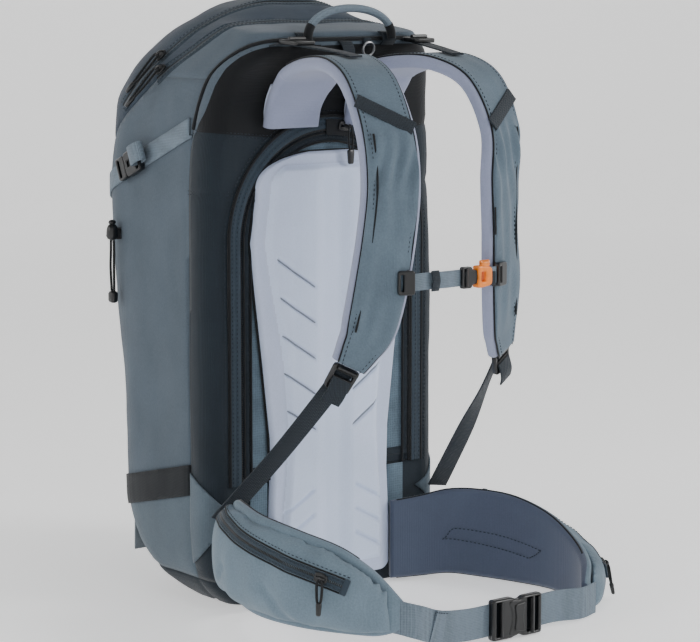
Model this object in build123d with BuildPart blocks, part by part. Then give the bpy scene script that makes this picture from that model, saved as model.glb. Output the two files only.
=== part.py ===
"""Ski touring backpack with an opening back door, harness, hip belt and carrying straps.

Frame: the wearer stands on the -Y side, the bag reaches towards +Y and +Z is up.
The origin is the middle of the bottom edge of the flat back.
Names follow the wearer: right pieces are at -X and left pieces at +X.
"""

import os
from math import cos, radians, sin

from build123d import *

os.makedirs("parts", exist_ok=True)

# ---- driving dimensions, millimetres ----
WALL = 3.0                      # padded shell fabric
SKIN = 2.0                      # tapes and webbing sewn on the shell
RUN_GAP = 0.4                   # clearance between moving pieces
SEAM_Y = 34.0                   # seam between the back strips and the side panels
FRONT_SEAM_X = 112.0            # seam between the side panels and the front panel
BASE_HEIGHT = 24.0
BASE_FRONT_Y = 120.0            # where the front panel begins behind the base and the hood
HOOD_HEIGHT = 464.0             # the back strip ends and the hood begins

FAR = 400.0                     # beyond the bag on every side
TOP = 600.0                     # above the bag

# height, half width, back, front, back corner radius, front corner radius
SECTIONS = [
    (0, 110, 0, 82, 18, 26),
    (10, 122, 0, 108, 20, 36),
    (24, 132, 0, 136, 22, 46),
    (50, 138, 0, 164, 22, 54),
    (90, 140, 0, 180, 22, 58),
    (190, 140, 0, 184, 22, 60),
    (270, 140, 0, 198, 22, 60),
    (340, 139, 0, 205, 22, 60),
    (400, 138, 0, 211, 22, 60),
    (475, 134, 0, 205, 22, 60),
    (505, 129, -8, 186, 24, 60),
    (536, 108, -27, 164, 26, 58),
    (546, 99, -27, 154, 28, 56),
    (557, 84, 30, 140, 36, 52),
    (570, 62, 50, 120, 30, 34),
    (577, 38, 62, 100, 16, 18),
]

DOOR_HALF_WIDTH = 108.0
DOOR_BOTTOM = 118.0
DOOR_ARCH_Z = 350.0
DOOR_GAP = 0.5
PAD_THICKNESS = 13.0
PAD_CHANNEL = 5.0
PAD_TOP = 434.0
ZIP_WIDTH = 3.5

LID_BACK = (30.0, 556.0)        # y and z of the zip at the centre of the hood
LID_FRONT = (212.0, 418.0)      # y and z of the lid's hinge line
POCKET_ZIP = (66.0, 569.0)      # y and z of the front zip at the centre of the lid
POCKET_FALL = (39.0, 42.0)      # run and fall of the front zip down the side of the lid
HOOD_TAPE_Z = 480.0             # the hood's zip tapes stay above this height
LID_TAPE_END_Y = 96.0
POCKET_TAPE_END_Y = 140.0

SKI_BAND_Z = 122.0              # at the back seam
SKI_BAND_SLOPE = 0.24
SKI_BAND_WIDTH = 30.0
COMPRESSION_Z = 458.0           # at the back seam
COMPRESSION_SLOPE = 0.43
COMPRESSION_WIDTH = 20.0
BAND_START_Y = 35.0

STRAP_THICKNESS = 13.0
COVER_THICKNESS = 1.5
# point on the centreline of the left strap, width, yaw of the face in degrees
STRAP_ROUTE = [
    ((45, -36, 511), 72, 0),
    ((52, -75, 520), 66, 0),
    ((60, -115, 519), 60, 4),
    ((66, -150, 502), 57, 12),
    ((67, -174, 460), 56, 18),
    ((64, -177, 415), 56, 20),
    ((67, -175, 370), 56, 22),
    ((72, -170, 325), 56, 22),
    ((78, -164, 287), 53, 22),
    ((85, -157, 267), 44, 22),
    ((91, -151, 252), 36, 22),
]
YOKE_ROUTE = [((41, -7, 466), 76, 0), ((42, -12, 484), 76, 0), ((43, -23, 499), 75, 0)]
ANCHOR = (134.0, -8.0, 90.0)    # lower end of the strap webbing
WEB_THICKNESS = 1.6

FIN_PAD = 10.0
POCKET_DEPTH = 24.0
# x, y, lower edge, upper edge, along the hip fins
LEFT_FIN = [
    (124, -37, 6, 92),
    (147, -57, 3, 92),
    (166, -90, 1, 88),
    (175, -132, 1, 76),
    (169, -174, 1, 60),
    (153, -207, 1, 48),
    (130, -230, 1, 38),
]
RIGHT_FIN = [
    (124, -37, 18, 102),
    (147, -57, 27, 119),
    (166, -90, 30, 125),
    (174, -132, 28, 121),
    (164, -176, 26, 113),
    (142, -210, 24, 100),
    (117, -233, 22, 76),
    (98, -242, 22, 56),
]
WING_BASE = [(79, -12, 10, 82), (100, -22, 9, 86), (117, -30, 8, 88)]
BELT_Y = -243.0                 # front run of the hip webbing
BELT_Z = 20.0
BELT_WIDTH = 30.0


def save(part, name):
    """Labels a finished piece and writes it under its own name."""
    part.label = name
    export_step(part, f"parts/{name}.step")


def save_pair(part, name):
    """Writes a left piece and its mirror image for the right side."""
    save(part, f"{name}_left")
    save(mirror(part, about=Plane.YZ), f"{name}_right")


def save_both(part, name):
    """Writes a left piece and its mirror image as one node of separate solids."""
    with BuildPart() as both:
        add(part)
        mirror(about=Plane.YZ)
    save(both.part, name)


def body_form(inset):
    """The bag's outer form drawn in by inset, its crown lowered by the same amount."""
    crown_start, crown_end = SECTIONS[9][0], SECTIONS[-1][0]
    with BuildPart() as form:
        for height, half, back, front, back_r, front_r in SECTIONS:
            drop = inset * max(0.0, (height - crown_start) / (crown_end - crown_start))
            level = height - drop if height > 0 else max(inset, 0.0)
            with BuildSketch(Plane.XY.offset(level)):
                with Locations((0, (back + front) / 2)):
                    Rectangle(2 * (half - inset), front - back - 2 * inset)
                rows = vertices().group_by(Axis.Y)
                fillet(rows[-1], front_r - inset)
                rows = vertices().group_by(Axis.Y)
                fillet(rows[0], back_r - inset)
        loft(ruled=True)
    return form.part


def zip_plane(back, slope_to):
    """The plane across the bag through a zip at (y, z) and another point (y, z)."""
    run, fall = slope_to[0] - back[0], back[1] - slope_to[1]
    return Plane(origin=(0, back[0], back[1]), x_dir=(1, 0, 0), z_dir=(0, fall, run))


def slab(part, plane, low, high):
    """The part of a solid that lies between two offsets of a plane."""
    upper = split(part, bisect_by=plane.offset(low), keep=Keep.TOP)
    return split(upper, bisect_by=plane.offset(high), keep=Keep.BOTTOM)


def within(part, x_range, y_range, z_range):
    """The part of a solid inside an upright box."""
    sizes = [high - low for low, high in (x_range, y_range, z_range)]
    centre = [(high + low) / 2 for low, high in (x_range, y_range, z_range)]
    with BuildPart() as cut:
        add(part)
        with Locations(tuple(centre)):
            Box(*sizes, mode=Mode.INTERSECT)
    return cut.part


def door_outline(half, bottom):
    """The door's U outline, flat at the bottom with a round arch on top."""
    with BuildSketch(Plane.XZ, mode=Mode.PRIVATE) as outline:
        with BuildLine():
            Line((-half, bottom), (half, bottom))
            Line((half, bottom), (half, DOOR_ARCH_Z))
            RadiusArc((half, DOOR_ARCH_Z), (0, DOOR_ARCH_Z + half), -half)
            RadiusArc((0, DOOR_ARCH_Z + half), (-half, DOOR_ARCH_Z), -half)
            Line((-half, DOOR_ARCH_Z), (-half, bottom))
        make_face()
    return outline.sketch


def ribbon(stations, thickness, lift=0.0):
    """A strap lofted through stations of (point, width direction, width)."""
    points = [Vector(*point) for point, _, _ in stations]
    with BuildPart() as strap:
        for i, (_, direction, width) in enumerate(stations):
            before, after = points[max(i - 1, 0)], points[min(i + 1, len(points) - 1)]
            along = (after - before).normalized()
            across = Vector(*direction)
            across = (across - along * across.dot(along)).normalized()
            up = along.cross(across)
            with BuildSketch(Plane(origin=points[i] + up * lift, x_dir=across, z_dir=along)):
                Rectangle(width, thickness)
        loft(ruled=True)
    return strap.part


def yawed(route):
    """Stations for ribbon from points, widths and the outward yaw of the face."""
    return [
        (point, (cos(radians(yaw)), sin(radians(yaw)), 0), width)
        for point, width, yaw in route
    ]


def upright(path, stations, mirrored=False):
    """A band standing on edge along a plan path of (x, y, lower edge, upper edge).

    Each station is (index on the path, inner offset, outer offset, trim of both edges).
    """
    plan = [Vector(x, y, 0) for x, y, _, _ in path]
    with BuildPart() as band:
        for i, inner, outer, trim in stations:
            along = (plan[min(i + 1, len(plan) - 1)] - plan[max(i - 1, 0)]).normalized()
            out = Vector(0, 0, 1).cross(along)
            _, _, low, high = path[i]
            origin = plan[i] + out * ((inner + outer) / 2) + Vector(0, 0, (low + high) / 2)
            with BuildSketch(Plane(origin=origin, x_dir=(0, 0, 1), z_dir=along)):
                Rectangle(high - low - 2 * trim, outer - inner)
        loft(ruled=True)
    return mirror(band.part, about=Plane.YZ) if mirrored else band.part


def even(path, thickness):
    """Stations for a band of one thickness along the whole of a path."""
    return [(i, -thickness / 2, thickness / 2, 0) for i in range(len(path))]


# ---- shell of the bag ----
outer = body_form(0.0)
skin = body_form(-SKIN) - outer
skin = split(skin, bisect_by=Plane.XY.offset(2.0), keep=Keep.TOP)
lid_plane = zip_plane(LID_BACK, LID_FRONT)
pocket_end = (POCKET_ZIP[0] + POCKET_FALL[0], POCKET_ZIP[1] - POCKET_FALL[1])
pocket_plane = zip_plane(POCKET_ZIP, pocket_end)

with BuildPart() as shell:
    add(outer)
    add(body_form(WALL), mode=Mode.SUBTRACT)

with BuildPart() as lower_shell:
    add(shell.part)
    split(bisect_by=lid_plane, keep=Keep.BOTTOM)

with BuildPart() as lid_cap:
    add(shell.part)
    split(bisect_by=lid_plane.offset(RUN_GAP), keep=Keep.TOP)
save(lid_cap.part, "lid_cap")

body_cut = lower_shell.part
save(within(body_cut, (-FAR, FAR), (-FAR, FAR), (-1, BASE_HEIGHT)), "base_panel")
front_x = (-FRONT_SEAM_X, FRONT_SEAM_X)
save(within(body_cut, front_x, (BASE_FRONT_Y, FAR), (BASE_HEIGHT, TOP)), "front_panel")
save_pair(within(body_cut, (FRONT_SEAM_X, FAR), (SEAM_Y, FAR), (BASE_HEIGHT, TOP)), "side_panel")
hood_back = within(body_cut, (-FAR, FAR), (-FAR, SEAM_Y), (HOOD_HEIGHT, TOP))
hood_front = within(body_cut, front_x, (SEAM_Y, BASE_FRONT_Y), (HOOD_HEIGHT, TOP))
with BuildPart() as top_hood:
    add(hood_back)
    add(hood_front)
save(top_hood.part, "top_hood")

back_strip = within(body_cut, (-FAR, FAR), (-FAR, SEAM_Y), (BASE_HEIGHT, HOOD_HEIGHT))
with BuildPart() as back_surround:
    add(back_strip)
    extrude(door_outline(DOOR_HALF_WIDTH, DOOR_BOTTOM), amount=2 * WALL, both=True, mode=Mode.SUBTRACT)
save(back_surround.part, "back_surround")

# ---- zip tapes and bands sewn on the shell ----
lid_tape_room = ((-FAR, FAR), (-FAR, LID_TAPE_END_Y), (HOOD_TAPE_Z, TOP))
pocket_tape_room = ((-FAR, FAR), (-FAR, POCKET_TAPE_END_Y), (HOOD_TAPE_Z, TOP))
hood_tape = within(slab(skin, lid_plane, -ZIP_WIDTH, 0), *lid_tape_room)
lid_tape = within(slab(skin, lid_plane, RUN_GAP, ZIP_WIDTH), *lid_tape_room)
lid_skin = split(skin, bisect_by=lid_plane.offset(2 * ZIP_WIDTH), keep=Keep.TOP)
pocket_tape = within(slab(lid_skin, pocket_plane, -ZIP_WIDTH, ZIP_WIDTH), *pocket_tape_room)
with BuildPart() as lid_zip_tapes:
    add(lid_tape)
    add(pocket_tape)
save(lid_zip_tapes.part, "lid_zip_tapes")


def side_band(height, slope, width, x_range, z_range):
    """A strap sewn round the side from the back seam, sloping down towards the front."""
    middle = Plane(origin=(0, BAND_START_Y, height), x_dir=(1, 0, 0), z_dir=(0, slope, 1))
    return within(slab(skin, middle, -width / 2, width / 2), x_range, (SEAM_Y, FAR), z_range)


ski_band = side_band(SKI_BAND_Z, SKI_BAND_SLOPE, SKI_BAND_WIDTH, (98, FAR), (30, 200))
compression = side_band(COMPRESSION_Z, COMPRESSION_SLOPE, COMPRESSION_WIDTH, (104, FAR), (340, 480))
save_both(ski_band, "ski_bands")
save_both(compression, "compression_straps")

# ---- back door ----
with BuildPart() as door_panel:
    extrude(door_outline(DOOR_HALF_WIDTH - DOOR_GAP, DOOR_BOTTOM + DOOR_GAP), amount=-WALL)
save(door_panel.part, "door_panel")

with BuildPart() as door_zip_tape:
    extrude(door_outline(DOOR_HALF_WIDTH - DOOR_GAP, DOOR_BOTTOM + DOOR_GAP), amount=SKIN)
    extrude(
        door_outline(DOOR_HALF_WIDTH - DOOR_GAP - ZIP_WIDTH, DOOR_BOTTOM - 10),
        amount=SKIN,
        mode=Mode.SUBTRACT,
    )
save(door_zip_tape.part, "door_zip_tape")

with BuildPart() as surround_zip_tape:
    extrude(door_outline(DOOR_HALF_WIDTH + ZIP_WIDTH, DOOR_BOTTOM), amount=SKIN)
    extrude(door_outline(DOOR_HALF_WIDTH, DOOR_BOTTOM - 10), amount=SKIN, mode=Mode.SUBTRACT)
with BuildPart() as shell_zip_tapes:
    add(hood_tape)
    add(surround_zip_tape.part)
save(shell_zip_tapes.part, "shell_zip_tapes")

with BuildPart() as back_pad:
    with BuildSketch(Plane.XZ):
        with BuildLine():
            Polyline((0, 122), (70, 122), (72, 160))
            Spline((72, 160), (80, 230), (90, 310), (94, 350))
            Spline((94, 350), (84, 398), (50, 426), (0, PAD_TOP), tangents=[(0, 1), (-1, 0)])
            Line((0, PAD_TOP), (0, 122))
        make_face()
        mirror(about=Plane.YZ)
    extrude(amount=PAD_THICKNESS)
    with BuildSketch(Plane.XZ.offset(PAD_THICKNESS)):
        with Locations((0, 280)):
            SlotOverall(250, 22, rotation=90)
    extrude(amount=-PAD_CHANNEL, mode=Mode.SUBTRACT)
save(back_pad.part, "back_pad")

with BuildPart() as frame_stays:
    with Locations((-52, WALL + 1.5, 270), (52, WALL + 1.5, 270)):
        Box(20, 3, 260)
    fillet(edges().filter_by(Axis.Y), 6)
save(frame_stays.part, "frame_stays")

# ---- lumbar pad and the fixed roots of the hip fins ----
with BuildPart() as lumbar_pad:
    with BuildSketch(Plane.XZ):
        with Locations((0, 60)):
            RectangleRounded(148, 98, 12)
    extrude(amount=PAD_THICKNESS)
    with BuildSketch(Plane.XZ.offset(PAD_THICKNESS)):
        with Locations((0, 62)):
            SlotOverall(70, 20, rotation=90)
    extrude(amount=-PAD_CHANNEL, mode=Mode.SUBTRACT)
save(lumbar_pad.part, "lumbar_pad")
save_both(upright(WING_BASE, even(WING_BASE, FIN_PAD)), "hip_wing_bases")

# ---- inside the bag ----
inner = body_form(WALL)
inner_below = split(inner, bisect_by=lid_plane.offset(-4), keep=Keep.BOTTOM)
save(within(inner_below, (-FAR, FAR), (148, 150), (30, 470)), "divider_wall")
with BuildPart() as tool_sleeves:
    with Locations((-45, 151, 180), (45, 151, 180)):
        Box(70, 2, 250)
save(tool_sleeves.part, "tool_sleeves")
with BuildPart() as hydration_sleeve:
    with Locations((0, 12, 260)):
        Box(190, 2, 280)
    with Locations((-92, 8.5, 260), (92, 8.5, 260)):
        Box(6, 5, 280)
save(hydration_sleeve.part, "hydration_sleeve")

# ---- small pieces on the hood's lip ----
LIP_Y, LIP_Z = -27.0, 541.0
with BuildPart() as haul_loop_anchors:
    with Locations((-50, LIP_Y - 2, LIP_Z), (50, LIP_Y - 2, LIP_Z)):
        Box(16, 4, 8)
LOOP_Y = LIP_Y - 9.5
with BuildPart() as haul_loop:
    with BuildLine() as loop_path:
        ThreePointArc((-50, LOOP_Y, LIP_Z), (0, LOOP_Y, LIP_Z + 29), (50, LOOP_Y, LIP_Z))
    with BuildSketch(Plane(origin=loop_path.line @ 0, z_dir=loop_path.line % 0)):
        Circle(5)
    sweep()
save(haul_loop.part, "haul_loop")

with BuildPart() as hose_loop:
    with Locations((0, LIP_Y - 4, LIP_Z)):
        Box(24, 8, 9)
    with Locations((0, LIP_Y - 4.2, LIP_Z)):
        Box(18, 5, 9, mode=Mode.SUBTRACT)
anchor_web = ribbon([((76, LIP_Y - 0.7, 541), (1, 0, 0), 20), ((75, -40, 540), (1, 0, 0), 20)], WEB_THICKNESS)
with BuildPart() as lifter_anchors:
    add(anchor_web)
    mirror(about=Plane.YZ)

with BuildPart() as hood_loops:
    for piece in (haul_loop_anchors, hose_loop, lifter_anchors):
        add(piece.part)
save(hood_loops.part, "hood_loops")

# ---- shoulder straps ----
strap = yawed(STRAP_ROUTE)
save_both(ribbon(yawed(YOKE_ROUTE), STRAP_THICKNESS - 2), "yoke_pads")
save_pair(ribbon(strap, STRAP_THICKNESS), "strap_pad")
cover_lift = (STRAP_THICKNESS + COVER_THICKNESS) / 2 + 0.5
save_pair(ribbon([(p, d, w - 8) for p, d, w in strap[1:9]], COVER_THICKNESS, cover_lift), "strap_cover")

lifter = [((74, -42, 540), (1, 0, 0), 20), ((66, -80, 534.5), (1, 0, 0), 20), ((61, -108, 529), (1, 0, 0), 20)]
save_pair(ribbon(lifter, WEB_THICKNESS), "load_lifter")

# ladder lock at the lower end of each strap
end = Vector(*STRAP_ROUTE[-1][0])
down = (end - Vector(*STRAP_ROUTE[-2][0])).normalized()
across = Vector(*strap[-1][1])
across = (across - down * across.dot(down)).normalized()
face = down.cross(across)
LOCK_LENGTH, LOCK_WIDTH, LOCK_THICKNESS = 24.0, 27.0, 5.0
lock_plane = Plane(origin=end + down * (LOCK_LENGTH / 2 + 2), x_dir=across, z_dir=face)
with BuildPart() as ladder_lock:
    with BuildSketch(lock_plane):
        RectangleRounded(LOCK_WIDTH, LOCK_LENGTH, 3)
        with GridLocations(0, 10, 1, 2):
            Rectangle(21, 6, mode=Mode.SUBTRACT)
    extrude(amount=LOCK_THICKNESS / 2, both=True)
save_pair(ladder_lock.part, "ladder_lock")

web_start = end + down * 14 - face * (LOCK_THICKNESS / 2 + 1.6)
web = [
    (tuple(web_start), tuple(across), 20),
    ((105, -107, 198), (0.9, 0.3, 0), 20),
    ((119, -58, 144), (0.97, 0.2, 0), 20),
    (ANCHOR, (1, 0, 0), 20),
]
save_pair(ribbon(web, WEB_THICKNESS), "strap_webbing")
with BuildPart() as wing_outline:
    with BuildSketch(Plane.XZ.offset(5)):
        with BuildLine():
            Polyline((112, 90), (145, 120), (145, 34), close=True)
        make_face()
    extrude(amount=-(SEAM_Y + 5))
save_both(wing_outline.part & skin, "anchor_wings")

# ---- sternum strap ----
CHEST_Z = 328.0
chest_yaw = radians(STRAP_ROUTE[7][2])
chest_across = Vector(cos(chest_yaw), sin(chest_yaw), 0)
chest_face = Vector(sin(chest_yaw), -cos(chest_yaw), 0)
chest = Vector(STRAP_ROUTE[7][0][0], STRAP_ROUTE[7][0][1], CHEST_Z)
clip_centre = chest - chest_across * 22 + chest_face * (STRAP_THICKNESS / 2 + COVER_THICKNESS + 5)
clip_plane = Plane(origin=clip_centre, x_dir=chest_across, z_dir=chest_face)
with BuildPart() as sternum_clip:
    with BuildSketch(clip_plane):
        RectangleRounded(16, 22, 3)
    extrude(amount=3, both=True)
save_pair(sternum_clip.part, "sternum_clip")

CHEST_Y = clip_centre.Y - 1.0   # the sternum webbing crosses straight in front
clip_x = clip_centre.X - 9.0
BUCKLE_X = 20.0
with BuildPart() as sternum_webbing:
    with Locations(((-clip_x + BUCKLE_X - 12) / 2, CHEST_Y, CHEST_Z)):
        Box(BUCKLE_X - 12 + clip_x, WEB_THICKNESS, 16)
save(sternum_webbing.part, "sternum_webbing")

with BuildPart() as sternum_buckle_male:
    with Locations((BUCKLE_X - 6, CHEST_Y, CHEST_Z)):
        Box(16, 7, 20)
        Box(17, WEB_THICKNESS + 1, 17, mode=Mode.SUBTRACT)
    with Locations((BUCKLE_X + 7, CHEST_Y + 2, CHEST_Z)):
        Box(10, 2.4, 12)
save(sternum_buckle_male.part, "sternum_buckle_male")

with BuildPart() as sternum_buckle_female:
    with Locations((BUCKLE_X + 11.5, CHEST_Y, CHEST_Z)):
        Box(18, 10, 20)
    with Locations((BUCKLE_X + 8, CHEST_Y + 0.2, CHEST_Z)):
        Box(20, 6.8, 15, mode=Mode.SUBTRACT)
    with Locations((BUCKLE_X + 20.5, CHEST_Y, CHEST_Z)):
        Box(clip_x - BUCKLE_X - 20, 3, 16)
save(sternum_buckle_female.part, "sternum_buckle_female")

# ---- hip belt ----
POCKET = [(1, 16, 6), (2, POCKET_DEPTH, 2), (3, POCKET_DEPTH, 2), (4, 18, 4), (5, 7, 8)]
pocket_stations = [(i, FIN_PAD / 2, FIN_PAD / 2 + depth, trim) for i, depth, trim in POCKET]


def zip_slider(plane, pull_length):
    """A slider body on plane, its pull lying flat along the plane's -Y direction."""
    with BuildPart() as slider:
        with BuildSketch(plane):
            RectangleRounded(9, 12, 2)
        extrude(amount=4)
        with BuildSketch(plane.offset(4)):
            with Locations((0, -pull_length / 2)):
                RectangleRounded(6, pull_length, 2)
        extrude(amount=2)
    return slider.part


def fin_facet(path, i):
    """Outward facing plane of the pocket between stations i and i + 1, at its foot."""
    a, b = Vector(*path[i][:2]), Vector(*path[i + 1][:2])
    along = (b - a).normalized()
    out = Vector(0, 0, 1).cross(along)
    middle = a + (b - a) * 0.35 + out * (FIN_PAD / 2 + POCKET_DEPTH + 1.5)
    return Plane(origin=(middle.X, middle.Y, 70), x_dir=Vector(0, 0, 1).cross(out), z_dir=out)


for side, path in (("left", LEFT_FIN), ("right", RIGHT_FIN)):
    on_right = side == "right"
    save(upright(path, even(path, FIN_PAD), on_right), f"hip_fin_{side}")
    save(upright(path, pocket_stations, on_right), f"hip_pocket_{side}")
    slider = zip_slider(fin_facet(path, 2), 24)
    save(mirror(slider, about=Plane.YZ) if on_right else slider, f"hip_zip_slider_{side}")

HIP_X = 28.0                    # mouth of the hip buckle
belt_bottom, belt_top = BELT_Z - BELT_WIDTH / 2, BELT_Z + BELT_WIDTH / 2
left_belt = [
    (HIP_X + 10, BELT_Y, belt_bottom, belt_top),
    (HIP_X + 56, BELT_Y, belt_bottom, belt_top),
    (112, -243, belt_bottom - 2, belt_top - 2),
    (139, -236, belt_bottom - 3, belt_top - 3),
]
right_belt = [
    (-HIP_X + 18, BELT_Y, belt_bottom, belt_top),
    (30, BELT_Y, belt_bottom, belt_top),
    (66, -244, belt_bottom + 6, belt_top + 6),
    (94, -251, belt_bottom + 17, belt_top + 17),
]
save(upright(left_belt, even(left_belt, WEB_THICKNESS)), "hip_webbing_left")
save(upright(right_belt, even(right_belt, WEB_THICKNESS), True), "hip_webbing_right")

BUCKLE_HEIGHT = BELT_WIDTH + 8
with BuildPart() as hip_buckle_female:
    with Locations((HIP_X - 14, BELT_Y, BELT_Z)):
        Box(28, 15, BUCKLE_HEIGHT)
    with Locations((HIP_X - 7, BELT_Y + 2.4, BELT_Z)):
        Box(18, 13, BUCKLE_HEIGHT - 5, mode=Mode.SUBTRACT)
    with Locations((HIP_X - 22, BELT_Y, BELT_Z)):
        Box(16.01, WEB_THICKNESS, BELT_WIDTH, mode=Mode.SUBTRACT)
save(hip_buckle_female.part, "hip_buckle_female")

with BuildPart() as hip_buckle_male:
    with Locations((HIP_X + 14, BELT_Y, BELT_Z)):
        Box(27, 11, BUCKLE_HEIGHT)
        Box(28, WEB_THICKNESS + 1.4, BUCKLE_HEIGHT - 6, mode=Mode.SUBTRACT)
    with Locations((HIP_X - 6, BELT_Y + 4, BELT_Z + 8), (HIP_X - 6, BELT_Y + 4, BELT_Z - 8)):
        Box(14, 3, 6)
save(hip_buckle_male.part, "hip_buckle_male")

# ---- compression buckles on the sides ----
BUCKLE_Y = 128.0
side_plane = Plane(
    origin=(138 + SKIN + RUN_GAP, BUCKLE_Y, COMPRESSION_Z - COMPRESSION_SLOPE * (BUCKLE_Y - BAND_START_Y)),
    x_dir=(0, 1, -COMPRESSION_SLOPE),
    z_dir=(1, 0, 0),
)
with BuildPart() as compression_female:
    with BuildSketch(side_plane.offset(2)):
        with Locations((-13, 0)):
            RectangleRounded(25, 24, 3)
    extrude(amount=8)
    with BuildSketch(side_plane.offset(4.5)):
        with Locations((-6, 0)):
            Rectangle(14, 18)
    extrude(amount=6, mode=Mode.SUBTRACT)
save_both(compression_female.part, "compression_buckles")
with BuildPart() as compression_male:
    with BuildSketch(side_plane.offset(2)):
        with Locations((8, 0)):
            RectangleRounded(15, 22, 3)
    extrude(amount=7)
    with BuildSketch(side_plane.offset(5.5)):
        with Locations((-4, 0)):
            Rectangle(12, 12)
    extrude(amount=3)
save_pair(compression_male.part, "compression_clip")

# ---- sliders of the zips on the crown ----
SIDE_FACE = Vector(31, 0, 21)   # out of the sloping side of the hood
side_out = SIDE_FACE.normalized()


def crown_slider(zip_plane_used, start):
    """A zip slider on the left side of the hood, its pull along the zip."""
    way = side_out.cross(zip_plane_used.z_dir).normalized()
    plane = Plane(origin=Vector(*start) + side_out * (SKIN + 1.0), x_dir=way.cross(side_out), z_dir=side_out)
    return zip_slider(plane, 22)


save(mirror(crown_slider(lid_plane, (126.3, 92, 509)), about=Plane.YZ), "main_zip_slider")
save(mirror(crown_slider(pocket_plane, (118, 103, 522)), about=Plane.YZ), "front_zip_slider")

# ---- door zip slider and its hanging pull ----
SLIDER_ANGLE = 81.0
slider_x = DOOR_HALF_WIDTH * cos(radians(SLIDER_ANGLE))
slider_z = DOOR_ARCH_Z + DOOR_HALF_WIDTH * sin(radians(SLIDER_ANGLE))
slider_plane = Plane(
    origin=(slider_x, -SKIN - RUN_GAP, slider_z),
    x_dir=(sin(radians(SLIDER_ANGLE)), 0, -cos(radians(SLIDER_ANGLE))),
    z_dir=(0, -1, 0),
)
with BuildPart() as door_zip_slider:
    with BuildSketch(slider_plane):
        RectangleRounded(14, 10, 2)
    extrude(amount=5)
    with BuildSketch(slider_plane.offset(5)):
        RectangleRounded(8, 5, 2)
    extrude(amount=6.6)
save(door_zip_slider.part, "door_zip_slider")
PULL_Y = slider_plane.origin.Y - 12
with BuildPart() as door_zip_pull:
    with BuildSketch(Plane.XZ.offset(-PULL_Y)):
        with Locations((slider_x, slider_z - 16)):
            RectangleRounded(9, 40, 3)
    extrude(amount=3)
save(door_zip_pull.part, "door_zip_pull")

# ---- axe holder cord on the right front corner ----
CORD_X, CORD_Y = -149.0, 151.0
CORD_TOP, CORD_BOTTOM = 344.0, 294.0
CORD_RADIUS = 1.3
STRAND_OFFSET = 2.5             # each strand from the middle of the loop
LOCK_HEIGHT = 16.0
BORE_DEPTH = 6.0                # the button slides in this bore
lock_top = CORD_TOP + LOCK_HEIGHT
with BuildPart() as axe_tab:
    with Locations((CORD_X + 9, CORD_Y, CORD_TOP + 6)):
        Box(9, 10, 12)
    add(body_form(-SKIN / 2), mode=Mode.SUBTRACT)
with BuildPart() as cord_lock:
    with Locations((CORD_X, CORD_Y, CORD_TOP + LOCK_HEIGHT / 2)):
        Cylinder(6, LOCK_HEIGHT)
    with Locations((CORD_X, CORD_Y, lock_top - BORE_DEPTH / 2 + 1)):
        Cylinder(4.2, BORE_DEPTH, mode=Mode.SUBTRACT)
    add(axe_tab.part)
save(cord_lock.part, "cord_lock")
with BuildPart() as cord_lock_button:
    with Locations((CORD_X, CORD_Y, lock_top + 1.5)):
        Cylinder(3.8, 5)
save(cord_lock_button.part, "cord_lock_button")
with BuildPart() as axe_cord:
    for y in (CORD_Y - STRAND_OFFSET, CORD_Y + STRAND_OFFSET):
        with Locations((CORD_X, y, (CORD_TOP + CORD_BOTTOM) / 2)):
            Cylinder(CORD_RADIUS, CORD_TOP - CORD_BOTTOM)
save(axe_cord.part, "axe_cord")
with BuildPart() as cord_toggle:
    with Locations((CORD_X, CORD_Y, CORD_BOTTOM - 6)):
        Box(8, 10, 12)
save(cord_toggle.part, "cord_toggle")
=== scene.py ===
"""Looks of a ski touring backpack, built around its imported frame.

Lengths in this script are millimetres in the row frame; pieces are written in metres.
"""

from math import ceil, cos, pi, radians, sin

import bmesh
import bpy
import numpy as np
from mathutils import Matrix, Vector, kdtree, noise


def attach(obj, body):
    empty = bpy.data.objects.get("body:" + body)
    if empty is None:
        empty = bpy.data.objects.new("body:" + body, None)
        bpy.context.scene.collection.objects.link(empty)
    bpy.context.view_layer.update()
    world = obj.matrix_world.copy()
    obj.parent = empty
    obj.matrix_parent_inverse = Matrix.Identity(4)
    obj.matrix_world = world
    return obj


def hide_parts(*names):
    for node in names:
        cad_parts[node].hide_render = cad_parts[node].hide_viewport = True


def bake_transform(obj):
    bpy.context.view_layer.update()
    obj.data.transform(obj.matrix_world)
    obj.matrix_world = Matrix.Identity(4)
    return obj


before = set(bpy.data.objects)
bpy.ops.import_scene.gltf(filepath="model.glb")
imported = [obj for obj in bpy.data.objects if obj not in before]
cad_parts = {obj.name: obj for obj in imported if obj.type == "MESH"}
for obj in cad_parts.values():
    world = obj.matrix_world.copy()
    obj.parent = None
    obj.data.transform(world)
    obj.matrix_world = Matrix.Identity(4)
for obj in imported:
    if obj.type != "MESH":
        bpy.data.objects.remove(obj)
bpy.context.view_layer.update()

MM = 0.001

# ---- sizes shared with the frame, millimetres ----
# height, half width, back, front, back corner radius, front corner radius
SECTIONS = np.array([
    (0, 110, 0, 82, 18, 26),
    (10, 122, 0, 108, 20, 36),
    (24, 132, 0, 136, 22, 46),
    (50, 138, 0, 164, 22, 54),
    (90, 140, 0, 180, 22, 58),
    (190, 140, 0, 184, 22, 60),
    (270, 140, 0, 198, 22, 60),
    (340, 139, 0, 205, 22, 60),
    (400, 138, 0, 211, 22, 60),
    (475, 134, 0, 205, 22, 60),
    (505, 129, -8, 186, 24, 60),
    (536, 108, -27, 164, 26, 58),
    (546, 99, -27, 154, 28, 56),
    (557, 84, 30, 140, 36, 52),
    (570, 62, 50, 120, 30, 34),
    (577, 38, 62, 100, 16, 18),
], float)
LID_BACK = (30.0, 556.0)
LID_FRONT = (212.0, 418.0)
POCKET_ZIP = (66.0, 569.0)
DOOR_HALF = 108.0
DOOR_BOTTOM = 118.0
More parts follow.
